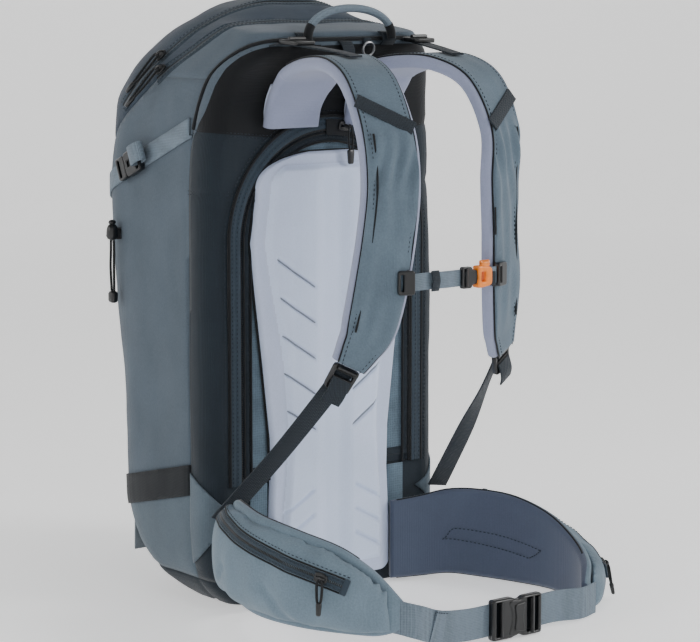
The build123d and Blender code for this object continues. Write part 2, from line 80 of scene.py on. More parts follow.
DOOR_ARCH_Z = 350.0
FRONT_SEAM_X = 112.0
BASE_HEIGHT = 24.0
# point on the centreline of the left strap, width, yaw of the face in degrees
STRAP_ROUTE = [
    ((48, -6.5, 459), 62, 0),
    ((48, -11, 478), 63, 0),
    ((47, -22, 496), 67, 0),
    ((45, -38, 511), 72, 0),
    ((52, -75, 520), 66, 0),
    ((60, -115, 519), 60, 4),
    ((66, -150, 502), 57, 12),
    ((67, -174, 460), 56, 18),
    ((64, -177, 415), 56, 20),
    ((67, -175, 370), 56, 22),
    ((72, -170, 325), 56, 22),
    ((78, -164, 287), 53, 22),
    ((85, -157, 267), 44, 22),
    ((91, -151, 252), 36, 22),
]
STRAP_THICKNESS = 13.0
ANCHOR = (134.0, -8.0, 90.0)
LOCK_TOP = (91.7, -150.3, 250.26)
LOCK_ACROSS = (0.8631, 0.2434, 0.4423)
# x, y, lower edge, upper edge, along the hip fins
LEFT_FIN = [
    (71.5, -10, 3, 82),
    (100, -22, 4, 86),
    (124, -37, 6, 92),
    (147, -57, 3, 92),
    (166, -90, 1, 88),
    (175, -132, 1, 76),
    (169, -174, 1, 60),
    (153, -207, 1, 48),
    (130, -230, 1, 38),
]
RIGHT_FIN = [
    (71.5, -10, 3, 82),
    (100, -22, 4, 86),
    (124, -37, 18, 102),
    (147, -57, 27, 119),
    (166, -90, 30, 125),
    (174, -132, 28, 121),
    (164, -176, 26, 113),
    (142, -210, 24, 100),
    (117, -233, 22, 76),
    (98, -242, 22, 56),
]
FIN_PAD = 10.0
POCKET_DEPTH = 24.0
BELT_Y = -243.0
BELT_Z = 20.0
BELT_WIDTH = 30.0
HIP_X = 28.0
CHEST_Z = 328.0
LIP_Z = 541.0                   # top edge of the recess under the haul loop
PAD_SPLIT = 118.7               # the back pad on the door meets the lumbar pad on the pack
SLIDER_ANGLE = radians(81)      # where the door slider rests on the arch of the door
HAUL_HALF = 50.0                # half the span of the haul loop
HAUL_RISE = 29.0
HAUL_Y = -36.5
FLOOR_GLOW = 0.5
WORLD_GLOW = 0.2
AIM_HEIGHT = 0.29               # metres above the floor, what the camera and lights look at
SIDES = ((1, "left"), (-1, "right"))
UPRIGHT = ((1, 0, 0), (0, 1, 0), (0, 0, 1))


# ---- materials ----
def linear(rgb):
    """An sRGB colour of 0 to 255 as linear RGBA."""
    parts = [c / 255 for c in rgb]
    return [c / 12.92 if c <= 0.04045 else ((c + 0.055) / 1.055) ** 2.4 for c in parts] + [1.0]


class Paint:
    """A node material that is put together a few nodes at a time."""

    def __init__(self, name, roughness, specular=0.5, sheen=0.0, coat=0.0, metallic=0.0):
        self.material = bpy.data.materials.new(name)
        self.material.use_nodes = True
        self.nodes = self.material.node_tree.nodes
        self.links = self.material.node_tree.links
        self.shader = self.nodes["Principled BSDF"]
        self.shader.inputs["Roughness"].default_value = roughness
        self.shader.inputs["Specular IOR Level"].default_value = specular
        self.shader.inputs["Sheen Weight"].default_value = sheen
        self.shader.inputs["Sheen Roughness"].default_value = 0.5
        self.shader.inputs["Coat Weight"].default_value = coat
        self.shader.inputs["Metallic"].default_value = metallic
        self.place = self.nodes.new("ShaderNodeTexCoord").outputs["Object"]
        self.bump = None

    def noise(self, size, detail=3.0, stretch=(1, 1, 1)):
        """Noise whose features measure about size millimetres."""
        mapping = self.nodes.new("ShaderNodeMapping")
        mapping.inputs["Scale"].default_value = [1 / (size * MM * s) for s in stretch]
        self.links.new(self.place, mapping.inputs["Vector"])
        texture = self.nodes.new("ShaderNodeTexNoise")
        texture.inputs["Scale"].default_value = 1.0
        texture.inputs["Detail"].default_value = detail
        self.links.new(mapping.outputs["Vector"], texture.inputs["Vector"])
        return texture.outputs["Fac"]

    def wave(self, period, direction):
        """Parallel waves a period of millimetres apart along one axis."""
        texture = self.nodes.new("ShaderNodeTexWave")
        texture.bands_direction = direction
        texture.inputs["Scale"].default_value = 2 * pi / (20 * period * MM)
        self.links.new(self.place, texture.inputs["Vector"])
        return texture.outputs["Fac"]

    def cells(self, size):
        """Distance to the middle of cells of about size millimetres."""
        texture = self.nodes.new("ShaderNodeTexVoronoi")
        texture.inputs["Scale"].default_value = 1 / (size * MM)
        texture.inputs["Randomness"].default_value = 0.25
        self.links.new(self.place, texture.inputs["Vector"])
        return texture.outputs["Distance"]

    def math(self, operation, a, b):
        node = self.nodes.new("ShaderNodeMath")
        node.operation = operation
        for socket, value in zip(node.inputs, (a, b)):
            if isinstance(value, (int, float)):
                socket.default_value = value
            else:
                self.links.new(value, socket)
        return node.outputs[0]

    def weave(self, period):
        """Threads crossing along all three axes, so that every face shows two of them."""
        total = self.math("ADD", self.wave(period, "X"), self.wave(period, "Z"))
        return self.math("ADD", total, self.wave(period, "Y"))

    def relief(self, height, distance, strength=1.0):
        """Adds a bump of distance millimetres."""
        node = self.nodes.new("ShaderNodeBump")
        node.inputs["Strength"].default_value = strength
        node.inputs["Distance"].default_value = distance * MM
        self.links.new(height, node.inputs["Height"])
        if self.bump is not None:
            self.links.new(self.bump, node.inputs["Normal"])
        self.bump = node.outputs["Normal"]

    def tint(self, rgb, factor, spread):
        """Base colour that goes from darker to lighter than rgb as factor goes from 0.3 to 0.7."""
        span = self.nodes.new("ShaderNodeMapRange")
        span.inputs["From Min"].default_value = 0.3
        span.inputs["From Max"].default_value = 0.7
        self.links.new(factor, span.inputs["Value"])
        mix = self.nodes.new("ShaderNodeMix")
        mix.data_type = "RGBA"
        self.links.new(span.outputs["Result"], mix.inputs["Factor"])
        base = linear(rgb)
        mix.inputs["A"].default_value = [c * (1 - spread) for c in base[:3]] + [1]
        mix.inputs["B"].default_value = [min(1.0, c * (1 + spread)) for c in base[:3]] + [1]
        self.links.new(mix.outputs["Result"], self.shader.inputs["Base Color"])

    def done(self):
        if self.bump is not None:
            self.links.new(self.bump, self.shader.inputs["Normal"])
        return self.material


def fabric(name, rgb, thread=1.1, depth=0.12, spread=0.16, creases=0.5, roughness=0.8, sheen=0.15):
    """Woven cloth: threads, faint mottling and soft creases."""
    paint = Paint(name, roughness, specular=0.3, sheen=sheen)
    mottle = paint.math("MULTIPLY", paint.noise(38, 2), 0.45)
    grain = paint.math("MULTIPLY", paint.noise(1.6, 2), 0.55)
    paint.tint(rgb, paint.math("ADD", mottle, grain), spread)
    paint.relief(paint.noise(26, 3, (1, 1, 1.8)), creases)
    paint.relief(paint.weave(thread), depth, 0.6)
    return paint.done()


def ribbed(name, rgb, spread=0.2):
    """Narrow webbing: a coarse weave."""
    paint = Paint(name, 0.7, specular=0.35, sheen=0.1)
    paint.tint(rgb, paint.math("ADD", paint.math("MULTIPLY", paint.weave(1.5), 0.2),
                               paint.math("MULTIPLY", paint.noise(2.2, 2), 0.45)), spread)
    paint.relief(paint.weave(1.5), 0.2, 0.8)
    return paint.done()


def netting(name, rgb):
    """Open spacer mesh with a hole in each cell."""
    paint = Paint(name, 0.8, specular=0.25, sheen=0.2)
    holes = paint.cells(2.4)
    paint.tint(rgb, paint.math("ADD", paint.math("MULTIPLY", holes, 0.35),
                               paint.math("MULTIPLY", paint.noise(20, 2), 0.6)), 0.3)
    paint.relief(holes, 0.5, 0.8)
    return paint.done()


def moulded(name, rgb, roughness=0.34):
    """Moulded plastic with a faint spark-eroded grain."""
    paint = Paint(name, roughness, specular=0.5, coat=0.15)
    paint.tint(rgb, paint.noise(6, 2), 0.12)
    paint.relief(paint.noise(0.7, 2), 0.03, 0.5)
    return paint.done()


def metal(name, rgb):
    paint = Paint(name, 0.32, metallic=1.0)
    paint.tint(rgb, paint.noise(3, 2, (1, 1, 8)), 0.1)
    paint.relief(paint.noise(0.8, 2), 0.02, 0.4)
    return paint.done()


SHELL = fabric("shell_cloth", (74, 86, 97))
HOOD = fabric("hood_cloth", (46, 58, 71))
DARK = fabric("dark_cloth", (21, 32, 41), thread=1.3, depth=0.16)
# Painted shade: a near-black copy of the dark back cloth for the recess under the haul loop.
RECESS_SHADE = fabric("recess_painted_shade", (4, 7, 12))
SKI_CLOTH = fabric("ski_band_cloth", (9, 15, 21), thread=1.5, depth=0.2)
LOW_FRONT = fabric("low_front_cloth", (80, 93, 103))
LINING = fabric("lining_cloth", (112, 120, 126), thread=0.9, depth=0.06, creases=1.0)
PAD = fabric("pad_cloth", (208, 221, 246), thread=0.9, depth=0.06, spread=0.05, creases=0.25, sheen=0.3)
# Painted shade: a darker copy of the pad cloth for the sloping rim of the pads and for the yoke pads.
PAD_RIM_SHADE = fabric("pad_rim_painted_shade", (194, 205, 230), thread=0.9, depth=0.06, spread=0.06, creases=0.2,
                 sheen=0.3)
# Painted shade: the dark colour of the lines laid in the back pad's slits.
SLIT_SHADE = fabric("slit_painted_shade", (128, 136, 152), thread=0.9, depth=0.05)
FOAM = fabric("strap_foam_cloth", (138, 145, 170), thread=0.9, depth=0.08, spread=0.07, creases=0.3,
              sheen=0.3)
FIN_FOAM = fabric("fin_foam_cloth", (70, 79, 98), thread=0.9, depth=0.08, spread=0.08, creases=0.4,
                  sheen=0.3)
COVER = fabric("strap_cover_cloth", (88, 104, 117), creases=0.7)
POCKET = fabric("pocket_cloth", (102, 120, 133), creases=1.0)
NET = netting("mesh_cloth", (92, 111, 125))
WEB = ribbed("webbing", (100, 114, 126))
DARK_WEB = ribbed("dark_webbing", (21, 31, 40))
BINDING = fabric("binding_tape", (9, 13, 18), thread=1.0, depth=0.1)
TAPE = fabric("zip_tape", (44, 57, 68), thread=0.9, depth=0.1)
COIL = moulded("zip_coil", (9, 13, 18), 0.4)
THREAD = fabric("stitching", (26, 36, 46), thread=0.5, depth=0.05)
PALE_THREAD = fabric("pale_stitching", (120, 134, 146), thread=0.5, depth=0.05)
BLACK = moulded("black_plastic", (6, 8, 11), 0.34)
ORANGE = moulded("orange_plastic", (236, 128, 22), 0.38)
CORD_MAT = ribbed("braided_cord", (8, 11, 15))
METAL = metal("ring_metal", (150, 152, 155))


# ---- mesh building ----
def unit(v):
    v = np.asarray(v, float)
    return v / np.maximum(np.linalg.norm(v, axis=-1, keepdims=True), 1e-9)


def resample(points, step):
    """Points evenly spaced about step apart along a polyline, with any values they carry."""
    points = np.asarray(points, float)
    lengths = np.concatenate([[0], np.cumsum(np.linalg.norm(np.diff(points[:, :3], axis=0), axis=1))])
    count = max(2, int(round(lengths[-1] / step)) + 1)
    at = np.linspace(0, lengths[-1], count)
    return np.stack([np.interp(at, lengths, points[:, k]) for k in range(points.shape[1])], axis=1)


def spline(points, step):
    """A smooth curve through points of any number of values, resampled every step."""
    points = np.asarray(points, float)
    ends = np.vstack([2 * points[0] - points[1], points, 2 * points[-1] - points[-2]])
    rows = []
    for a, b, c, d in zip(ends, ends[1:], ends[2:], ends[3:]):
        for t in np.linspace(0, 1, 12, endpoint=False):
            rows.append(0.5 * (2 * b + (c - a) * t + (2 * a - 5 * b + 4 * c - d) * t ** 2
                               + (3 * b - a - 3 * c + d) * t ** 3))
    rows.append(points[-1])
    return resample(np.array(rows), step)


def smooth(points, rounds=2):
    """A polyline with its small kinks averaged out, its ends kept."""
    points = np.array(points, float)
    for _ in range(rounds):
        points[1:-1] = (points[:-2] + 2 * points[1:-1] + points[2:]) / 4
    return points


def tangents(points):
    return unit(np.gradient(points, axis=0))


def rounded(width, thickness, radius, corners=3):
    """Outline of a rounded rectangle as (side, up) pairs."""
    radius = min(radius, width / 2 - 0.01, thickness / 2 - 0.01)
    rows = []
    for k, (sx, sy) in enumerate([(1, -1), (1, 1), (-1, 1), (-1, -1)]):
        for j in range(corners + 1):
            angle = radians(-90 + 90 * k + 90 * j / corners)
            rows.append((sx * (width / 2 - radius) + radius * cos(angle),
                         sy * (thickness / 2 - radius) + radius * sin(angle)))
    return np.array(rows)


class Form:
    """Solids gathered into one piece."""

    def __init__(self):
        self.verts, self.faces, self.mats, self.count = [], [], [], 0

    def add(self, verts, faces, mat=0):
        self.verts.append(np.asarray(verts, float))
        self.faces += [tuple(self.count + i for i in face) for face in faces]
        self.mats += [mat] * len(faces)
        self.count += len(verts)

    def sweep(self, points, sides, ups, profiles, mat=0, closed=False):
        """A solid whose outline profiles, in (side, up), stand on each point."""
        points, sides, ups = (np.asarray(a, float) for a in (points, sides, ups))
        profiles = np.asarray(profiles, float)
        if profiles.ndim == 2:
            profiles = np.repeat(profiles[None], len(points), axis=0)
        rings = (points[:, None] + profiles[:, :, :1] * sides[:, None] + profiles[:, :, 1:2] * ups[:, None])
        n, m = rings.shape[:2]
        faces = []
        for i in range(n if closed else n - 1):
            j = (i + 1) % n
            for k in range(m):
                q = (k + 1) % m
                faces.append((i * m + k, i * m + q, j * m + q, j * m + k))
        if not closed:
            faces += [tuple(reversed(range(m))), tuple(range((n - 1) * m, n * m))]
        self.add(rings.reshape(-1, 3), faces, mat)

    def tube(self, points, radius, mat=0, sides=8, closed=False):
        """A round cord of one radius, or of one radius per point."""
        points = np.asarray(points, float)
        along = tangents(points)
        start = np.array([0, 0, 1.0]) if abs(along[0][2]) < 0.9 else np.array([1.0, 0, 0])
        side = unit(np.cross(along[0], start))
        rows = []
        for t in along:
            side = unit(side - t * side.dot(t))
            rows.append(side)
        rows = np.array(rows)
        ups = np.cross(along, rows)
        angles = np.arange(sides) * 2 * pi / sides
        ring = np.stack([np.cos(angles), np.sin(angles)], axis=1)
        radii = np.broadcast_to(np.asarray(radius, float), (len(points),))
        self.sweep(points, rows, ups, ring[None] * radii[:, None, None], mat, closed)

    def ribbon(self, points, ups, width, thickness, mat=0, lift=0.0, ribs=0.0, radius=0.6):
        """A flat strap on a surface with normals ups; ribs is the height of its cross ribs."""
        points, ups = np.asarray(points, float), unit(ups)
        along = tangents(points)
        sides = unit(np.cross(along, ups))
        ups = np.cross(sides, along)
        widths = np.broadcast_to(np.asarray(width, float), (len(points),))
        profiles = np.array([rounded(w, thickness, radius, 2) for w in widths])
        if ribs:
            wave = np.where(np.arange(len(points)) % 2, ribs, 0.0)
            profiles[:, :, 1] += np.sign(profiles[:, :, 1]) * wave[:, None]
        self.sweep(points + ups * lift, sides, ups, profiles, mat)

    def grains(self, centres, directions, length, radius, mat=0):
        """Short capsules, such as stitches and zip teeth."""
        centres, directions = np.asarray(centres, float), unit(directions)
        helper = np.where(np.abs(directions[:, 2:3]) < 0.9, [[0, 0, 1.0]], [[1.0, 0, 0]])
        one = unit(np.cross(directions, helper))
        two = np.cross(directions, one)
        angles = np.arange(5) * 2 * pi / 5
        parts = [centres - directions * length / 2]
        for sign in (-1, 1):
            for angle in angles:
                parts.append(centres + directions * sign * (length / 2 - radius)
                             + (one * cos(angle) + two * sin(angle)) * radius)
        parts.append(centres + directions * length / 2)
        verts = np.stack(parts, axis=1)
        faces = []
        for i in range(len(centres)):
            base = i * 12
            for k in range(5):
                q = (k + 1) % 5
                faces.append((base, base + 1 + q, base + 1 + k))
                faces.append((base + 1 + k, base + 1 + q, base + 6 + q, base + 6 + k))
                faces.append((base + 6 + k, base + 6 + q, base + 11))
        self.add(verts.reshape(-1, 3), faces, mat)

    def seam(self, points, ups, offset=0.0, mat=0, pitch=4.2, length=2.6, radius=0.45, lift=0.3):
        """A row of stitches along a path, offset sideways on the surface."""
        rows = resample(np.hstack([points, unit(ups)]), pitch)
        if len(rows) < 3:
            return
        path, ups = rows[:, :3], unit(rows[:, 3:6])
        along = tangents(path)
        side = unit(np.cross(along, ups))
        self.grains(path + side * offset + ups * lift, along, length, radius, mat)

    def zip(self, points, ups, tape=8.0, mats=(0, 1, 2), lift=0.6, teeth=True):
        """Two tapes, a coil between them and a stitch row on each tape."""
        rows = resample(np.hstack([points, unit(ups)]), 5.0)
        path, ups = rows[:, :3], unit(rows[:, 3:6])
        along = tangents(path)
        side = unit(np.cross(along, ups))
        ups = np.cross(side, along)
        for sign in (-1, 1):
            middle = path + side * sign * (tape / 2 + 1.0)
            self.ribbon(middle, ups, tape, 1.3, mats[0], lift)
            self.seam(middle, ups, sign * (tape / 2 - 1.6), mats[2], lift=lift + 0.7)
        if teeth:
            fine = resample(np.hstack([path, ups]), 1.7)
            across = unit(np.cross(tangents(fine[:, :3]), fine[:, 3:6]))
            self.grains(fine[:, :3] + fine[:, 3:6] * lift, across, 3.6, 0.62, mats[1])
        else:
            self.tube(path + ups * (lift - 0.3), 1.0, mats[1], 6)

    def box(self, origin, axes, size, radius=1.0, mat=0, taper=1.0):
        """A rounded block: size along the three axes, its far end scaled by taper."""
        x, y, z = (unit(a) for a in axes)
        w, d, h = size
        inset = min(radius, h / 2 - 0.01)
        levels = [(-h / 2, inset), (-h / 2 + 0.3 * inset, 0.3 * inset), (-h / 2 + inset, 0.0),
                  (h / 2 - inset, 0.0), (h / 2 - 0.3 * inset, 0.3 * inset), (h / 2, inset)]
        rings, points = [], []
        for level, cut in levels:
            scale = 1 + (taper - 1) * (level / h + 0.5)
            rings.append(rounded((w - 2 * cut) * scale, (d - 2 * cut) * scale, max(radius, 0.4), 3))
            points.append(np.asarray(origin, float) + z * level)
        count = len(points)
        self.sweep(points, np.repeat(x[None], count, 0), np.repeat(y[None], count, 0), rings, mat)

    def piece(self, name, mats, body, slot, nodes=(), sharp=40, wrap=True):
        mesh = bpy.data.meshes.new(name)
        mesh.from_pydata((np.vstack(self.verts) * MM).tolist(), [], self.faces)
        for material in mats:
            mesh.materials.append(material)
        mesh.polygons.foreach_set("material_index", np.array(self.mats, np.int32))
        obj = add_object(name, mesh)
        tidy_faces(obj, sharp)
        return place(obj, body, nodes) if wrap else obj


def tidy_faces(obj, sharp=40):
    """Normals outwards, smooth shading with edges above an angle kept sharp."""
    bm = bmesh.new()
    bm.from_mesh(obj.data)
    bmesh.ops.recalc_face_normals(bm, faces=bm.faces)
    bm.to_mesh(obj.data)
    bm.free()
    obj.data.polygons.foreach_set("use_smooth", [True] * len(obj.data.polygons))
    if sharp:
        obj.data.set_sharp_from_angle(angle=radians(sharp))


def add_object(name, data):
    """A new object in the scene."""
    obj = bpy.data.objects.new(name, data)
    bpy.context.scene.collection.objects.link(obj)
    return obj


def place(obj, body, nodes=()):
    """Puts a finished piece on its body and hides its CAD nodes; a piece given two bodies is only baked where
    it stands.
    """
    if isinstance(body, str):
        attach(obj, body)
    else:
        [c * MM for c in body[2]]
        [c * MM for c in body[3]]
        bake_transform(obj)
    if nodes:
        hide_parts(*nodes)
    return obj


def bake(obj):
    """Applies an object's modifiers."""
    bpy.context.view_layer.update()
    graph = bpy.context.evaluated_depsgraph_get()
    mesh = bpy.data.meshes.new_from_object(obj.evaluated_get(graph))
    obj.modifiers.clear()
    old = obj.data
    obj.data = mesh
    bpy.data.meshes.remove(old)
    return obj


def plate(form, outlines, origin, x_axis, y_axis, thickness, mat=0, bevel=0.8):
    """A moulded plate: outlines in millimetres on a plane, the first one outer, the rest windows."""
    curve = bpy.data.curves.new("plate_outline", "CURVE")
    curve.dimensions = "2D"
    curve.fill_mode = "BOTH"
    curve.extrude = max(thickness / 2 - bevel, 0.05)
    curve.bevel_depth = bevel
    curve.bevel_resolution = 2
    curve.offset = -bevel
    for outline in outlines:
        line = curve.splines.new("POLY")
        line.points.add(len(outline) - 1)
        for point, (x, y) in zip(line.points, outline):
            point.co = (x, y, 0, 1)
        line.use_cyclic_u = True
    obj = add_object("plate_outline", curve)
    bpy.context.view_layer.update()
    mesh = bpy.data.meshes.new_from_object(obj.evaluated_get(bpy.context.evaluated_depsgraph_get()))
    flat = np.array([v.co for v in mesh.vertices])
    x, y = unit(x_axis), unit(y_axis)
    z = np.cross(x, y)
    verts = np.asarray(origin, float) + flat[:, :1] * x + flat[:, 1:2] * y + flat[:, 2:3] * z
    form.add(verts, [tuple(p.vertices) for p in mesh.polygons], mat)
    bpy.data.objects.remove(obj)
    bpy.data.curves.remove(curve)
    bpy.data.meshes.remove(mesh)


def corner_round(points, radius, steps=3):
    """An outline with its corners rounded."""
    rows = []
    count = len(points)
    for i in range(count):
        a, b, c = (np.array(points[(i + k) % count], float) for k in (-1, 0, 1))
        reach = min(radius, np.linalg.norm(a - b) * 0.45, np.linalg.norm(c - b) * 0.45)
        start, end = b + unit(a - b) * reach, b + unit(c - b) * reach
        for t in np.linspace(0, 1, steps + 1):
            rows.append(start * (1 - t) ** 2 + 2 * b * t * (1 - t) + end * t ** 2)
    return [tuple(r) for r in rows]


def rectangle(width, height, radius=2.0, centre=(0, 0)):
    x, y = centre
    w, h = width / 2, height / 2
    return corner_round([(x - w, y - h), (x + w, y - h), (x + w, y + h), (x - w, y + h)], radius)


def steady(a, b, t):
    return np.clip((t - a) / (b - a), 0, 1) ** 2 * (3 - 2 * np.clip((t - a) / (b - a), 0, 1))


def swell(obj, pressure, cap, voxel):
    """Cloth simulation: the piece is blown up a little and no point goes further than cap."""
    remesh = obj.modifiers.new("remesh", "REMESH")
    remesh.mode = "VOXEL"
    remesh.voxel_size = voxel * MM
    bake(obj)
    rest = np.array([v.co for v in obj.data.vertices])
    cloth = obj.modifiers.new("cloth", "CLOTH")
    cloth.settings.use_pressure = True
    cloth.settings.uniform_pressure_force = pressure
    cloth.settings.effector_weights.gravity = 0
    cloth.settings.quality = 4
    cloth.settings.tension_stiffness = 20
    cloth.settings.bending_stiffness = 0.4
    scene = bpy.context.scene
    for step in range(1, 21):
        scene.frame_set(step)
    bake(obj)
    scene.frame_set(1)
    moved = np.array([v.co for v in obj.data.vertices]) - rest
    far = np.linalg.norm(moved, axis=1, keepdims=True)
    moved *= np.minimum(1.0, cap * MM / np.maximum(far, 1e-9))
    obj.data.vertices.foreach_set("co", (rest + moved).ravel())
    return obj


# ---- outer form of the bag ----
def between(z):
    """Section values at a height, by monotone cubic interpolation."""
    heights = SECTIONS[:, 0]
    i = int(np.clip(np.searchsorted(heights, z, side="right") - 1, 0, len(heights) - 2))
    step = heights[i + 1] - heights[i]
    t = (z - heights[i]) / step
    a, b = SECTIONS[i, 1:], SECTIONS[i + 1, 1:]
    slope = (b - a) / step

    def knot(j):
        if j <= 0 or j >= len(heights) - 1:
            return slope
        before = (SECTIONS[j, 1:] - SECTIONS[j - 1, 1:]) / (heights[j] - heights[j - 1])
        after = (SECTIONS[j + 1, 1:] - SECTIONS[j, 1:]) / (heights[j + 1] - heights[j])
        mean = 2 * before * after / np.where(np.abs(before + after) < 1e-9, 1, before + after)
        return np.where(before * after > 0, mean, 0.0)

    m, n = knot(i) * step, knot(i + 1) * step
    return (a * (2 * t ** 3 - 3 * t ** 2 + 1) + m * (t ** 3 - 2 * t ** 2 + t)
            + b * (3 * t ** 2 - 2 * t ** 3) + n * (t ** 3 - t ** 2))


def ring(half, back, front, back_r, front_r):
    """The bag's outline at one height, starting at the left end of the back."""
    rows = [(x, back) for x in np.linspace(-(half - back_r), half - back_r, 30, endpoint=False)]
    for a in np.linspace(-90, 0, 8, endpoint=False):
        rows.append((half - back_r + back_r * cos(radians(a)), back + back_r + back_r * sin(radians(a))))
    for y in np.linspace(back + back_r, front - front_r, 20, endpoint=False):
        rows.append((half, y))
    for a in np.linspace(0, 90, 13, endpoint=False):
        rows.append((half - front_r + front_r * cos(radians(a)), front - front_r + front_r * sin(radians(a))))
    front_half = [(x, front) for x in np.linspace(half - front_r, 0, 14, endpoint=False)]
    rows += front_half + [(0, front)]
    rows += [(-x, y) for x, y in reversed(front_half)]
    mirrored = [(-x, y) for x, y in rows[31:71]]
    rows += list(reversed(mirrored))
    return np.array(rows)


def body_mesh():
    """The whole outer skin as one bmesh, in millimetres."""
    heights = []
    for low, high in zip(SECTIONS, SECTIONS[1:]):
        reach = max(high[0] - low[0], abs(high[2] - low[2]), abs(high[3] - low[3]), abs(high[1] - low[1]))
        heights += list(np.linspace(low[0], high[0], max(2, ceil(reach / 6)), endpoint=False))
    heights.append(SECTIONS[-1, 0])
    rings = [np.column_stack([ring(*between(z)), np.full(len(ring(*between(z))), z)]) for z in heights]
    middle = np.array([0, 81.0])
    for share in (0.8, 0.55, 0.3, 0.1):
        top = rings[len(heights) - 1].copy()
        top[:, :2] = middle + (top[:, :2] - middle) * share
        top[:, 2] += 2.0 * (1 - share ** 2)
        rings.append(top)
    floor_middle = np.array([0, 41.0])
    for share in (0.8, 0.55, 0.3, 0.1):
        base = np.column_stack([ring(*between(0)), np.full(len(rings[0]), 0.4)])
        base[:, :2] = floor_middle + (base[:, :2] - floor_middle) * share
        rings.insert(0, base)
    bm = bmesh.new()
    grid = [[bm.verts.new(p) for p in row] for row in rings]
    count = len(grid[0])
    for low, high in zip(grid, grid[1:]):
        for i in range(count):
            j = (i + 1) % count
            bm.faces.new((low[i], low[j], high[j], high[i]))
    bm.faces.new(list(reversed(grid[0])))
    bm.faces.new(grid[-1])
    bm.normal_update()
    return bm


def cut(bm, field, where=None):
    """Splits faces along field = 0 and returns the vertices on that line."""
    values = {}
    for v in bm.verts:
        value = field(v.co)
        values[v] = 0.0 if abs(value) < 0.25 else value
    line = {v for v, value in values.items() if value == 0.0 and (where is None or where(v.co))}
    for edge in list(bm.edges):
        a, b = edge.verts
        if values[a] * values[b] < 0 and (where is None or where((a.co + b.co) / 2)):
            share = values[a] / (values[a] - values[b])
            co = a.co.lerp(b.co, share)
            _, fresh = bmesh.utils.edge_split(edge, a, share)
            fresh.co = co
            values[fresh] = 0.0
            line.add(fresh)
    for face in list(bm.faces):
        on = [v for v in face.verts if v in line]
        if len(on) == 2 and bm.edges.get(on) is None:
            bmesh.utils.face_split(face, on[0], on[1])
    return line


def chain(line):
    """The longest run of edges through a set of vertices, in order."""
    links = {v: [e.other_vert(v) for e in v.link_edges if e.other_vert(v) in line] for v in line}
    best = []
    left = set(line)
    while left:
        ends = [v for v in left if len([w for w in links[v] if w in left]) == 1]
        start = min(ends or left, key=lambda v: (round(v.co.x, 3), round(v.co.z, 3)))
        run = [start]
        left.discard(start)
        while True:
            onward = [w for w in links[run[-1]] if w in left]
            if not onward:
                break
            onward.sort(key=lambda w: (w.co - run[-1].co).length)
            run.append(onward[0])
            left.discard(onward[0])
        if len(run) > len(best):
            best = run
    return best


def strip_edge(z):
    """y of the seam between the dark back strip and the side and hood cloth."""
    return float(np.interp(z, [0, 430, 455, 480, 500, 515, 527, 538, 541, 545, 700],
                           [34, 34, 31, 25, 18, 10, -1, -18, -27, -60, -2000]))


def rim_edge(z):
    """y of the inner edge of the light binding beside the recess."""
    return strip_edge(z) - 13 * float(steady(440, 480, z))


def high_seam(p):
    return p.z - 452 - 0.10 * (abs(p.x) - 100)


def plane_field(back, front):
    """Signed distance above the plane across the bag through two (y, z) points."""
    run, fall = front[0] - back[0], back[1] - front[1]
    size = (run ** 2 + fall ** 2) ** 0.5
    return lambda p: ((p.y - back[0]) * fall + (p.z - back[1]) * run) / size


def door_field(p):
    """Distance outside the door's U outline, in the plane of the back."""
    if p.z < DOOR_ARCH_Z:
        return max(abs(p.x) - DOOR_HALF, DOOR_BOTTOM - p.z)
    return (p.x ** 2 + (p.z - DOOR_ARCH_Z) ** 2) ** 0.5 - DOOR_HALF


LID_FIELD = plane_field(LID_BACK, LID_FRONT)
POCKET_FIELD = plane_field(POCKET_ZIP, (POCKET_ZIP[0] + 39, POCKET_ZIP[1] - 42))


def wrinkle(bm, seam_verts):
    """Cloth relief: grooves at the seams, fuller panels between them and soft folds."""
    tree = kdtree.KDTree(len(seam_verts))
    for i, v in enumerate(seam_verts):
        tree.insert(v.co, i)
    tree.balance()
    bm.normal_update()
    moves = []
    for v in bm.verts:
        _, _, far = tree.find(v.co)
        flat_back = v.co.y < 3 and v.co.z < 470 and abs(v.co.x) < 122
        low = steady(2, 30, v.co.z)
        fold = noise.noise(Vector((v.co.x / 46, v.co.y / 46, v.co.z / 120)) + Vector((3.1, 7.7, 1.3)))
        small = noise.noise(Vector((v.co.x / 17, v.co.y / 17, v.co.z / 26)))
        groove = -1.5 * np.exp(-(far / 4.0) ** 2)
        full = 2.4 * (1 - np.exp(-(far / 45.0) ** 2))
        calm = 0.25 if flat_back else 1.0
        height = groove * (0.5 if flat_back else 1.0)
        height += (full * 0.9 + fold * 2.0 + small * 0.45 * (1 - np.exp(-(far / 9.0) ** 2))) * calm * low
        if flat_back:
            height = min(height, 0.6)
        moves.append(v.normal * float(height))
    for v, move in zip(bm.verts, moves):
        v.co += move
    for v in bm.verts:
        v.co.z = max(v.co.z, 0.3)
    bm.normal_update()


def region_piece(bm, keep, name, mats, body, nodes=(), thickness=2.4, offset=0.0, inside=1, rule=None):
    """Copies the faces that keep accepts, gives them thickness inwards and places them."""
    copy = bm.copy()
    drop = [f for f in copy.faces if not keep(f.calc_center_median())]
    bmesh.ops.delete(copy, geom=drop, context="FACES")
    copy.normal_update()
    if offset:
        for v in copy.verts:
            v.co += v.normal * offset
    for v in copy.verts:
        v.co *= MM
    mesh = bpy.data.meshes.new(name)
    copy.to_mesh(mesh)
    copy.free()
    for material in mats:
        mesh.materials.append(material)
    obj = add_object(name, mesh)
    if rule is not None:
        for polygon in mesh.polygons:
            polygon.material_index = rule(polygon.center / MM)
    mesh.polygons.foreach_set("use_smooth", [True] * len(mesh.polygons))
    shell = obj.modifiers.new("thickness", "SOLIDIFY")
    shell.thickness = thickness * MM
    shell.offset = -1.0
    shell.use_even_offset = False
    shell.material_offset = inside
    bake(obj)
    return place(obj, body, nodes)


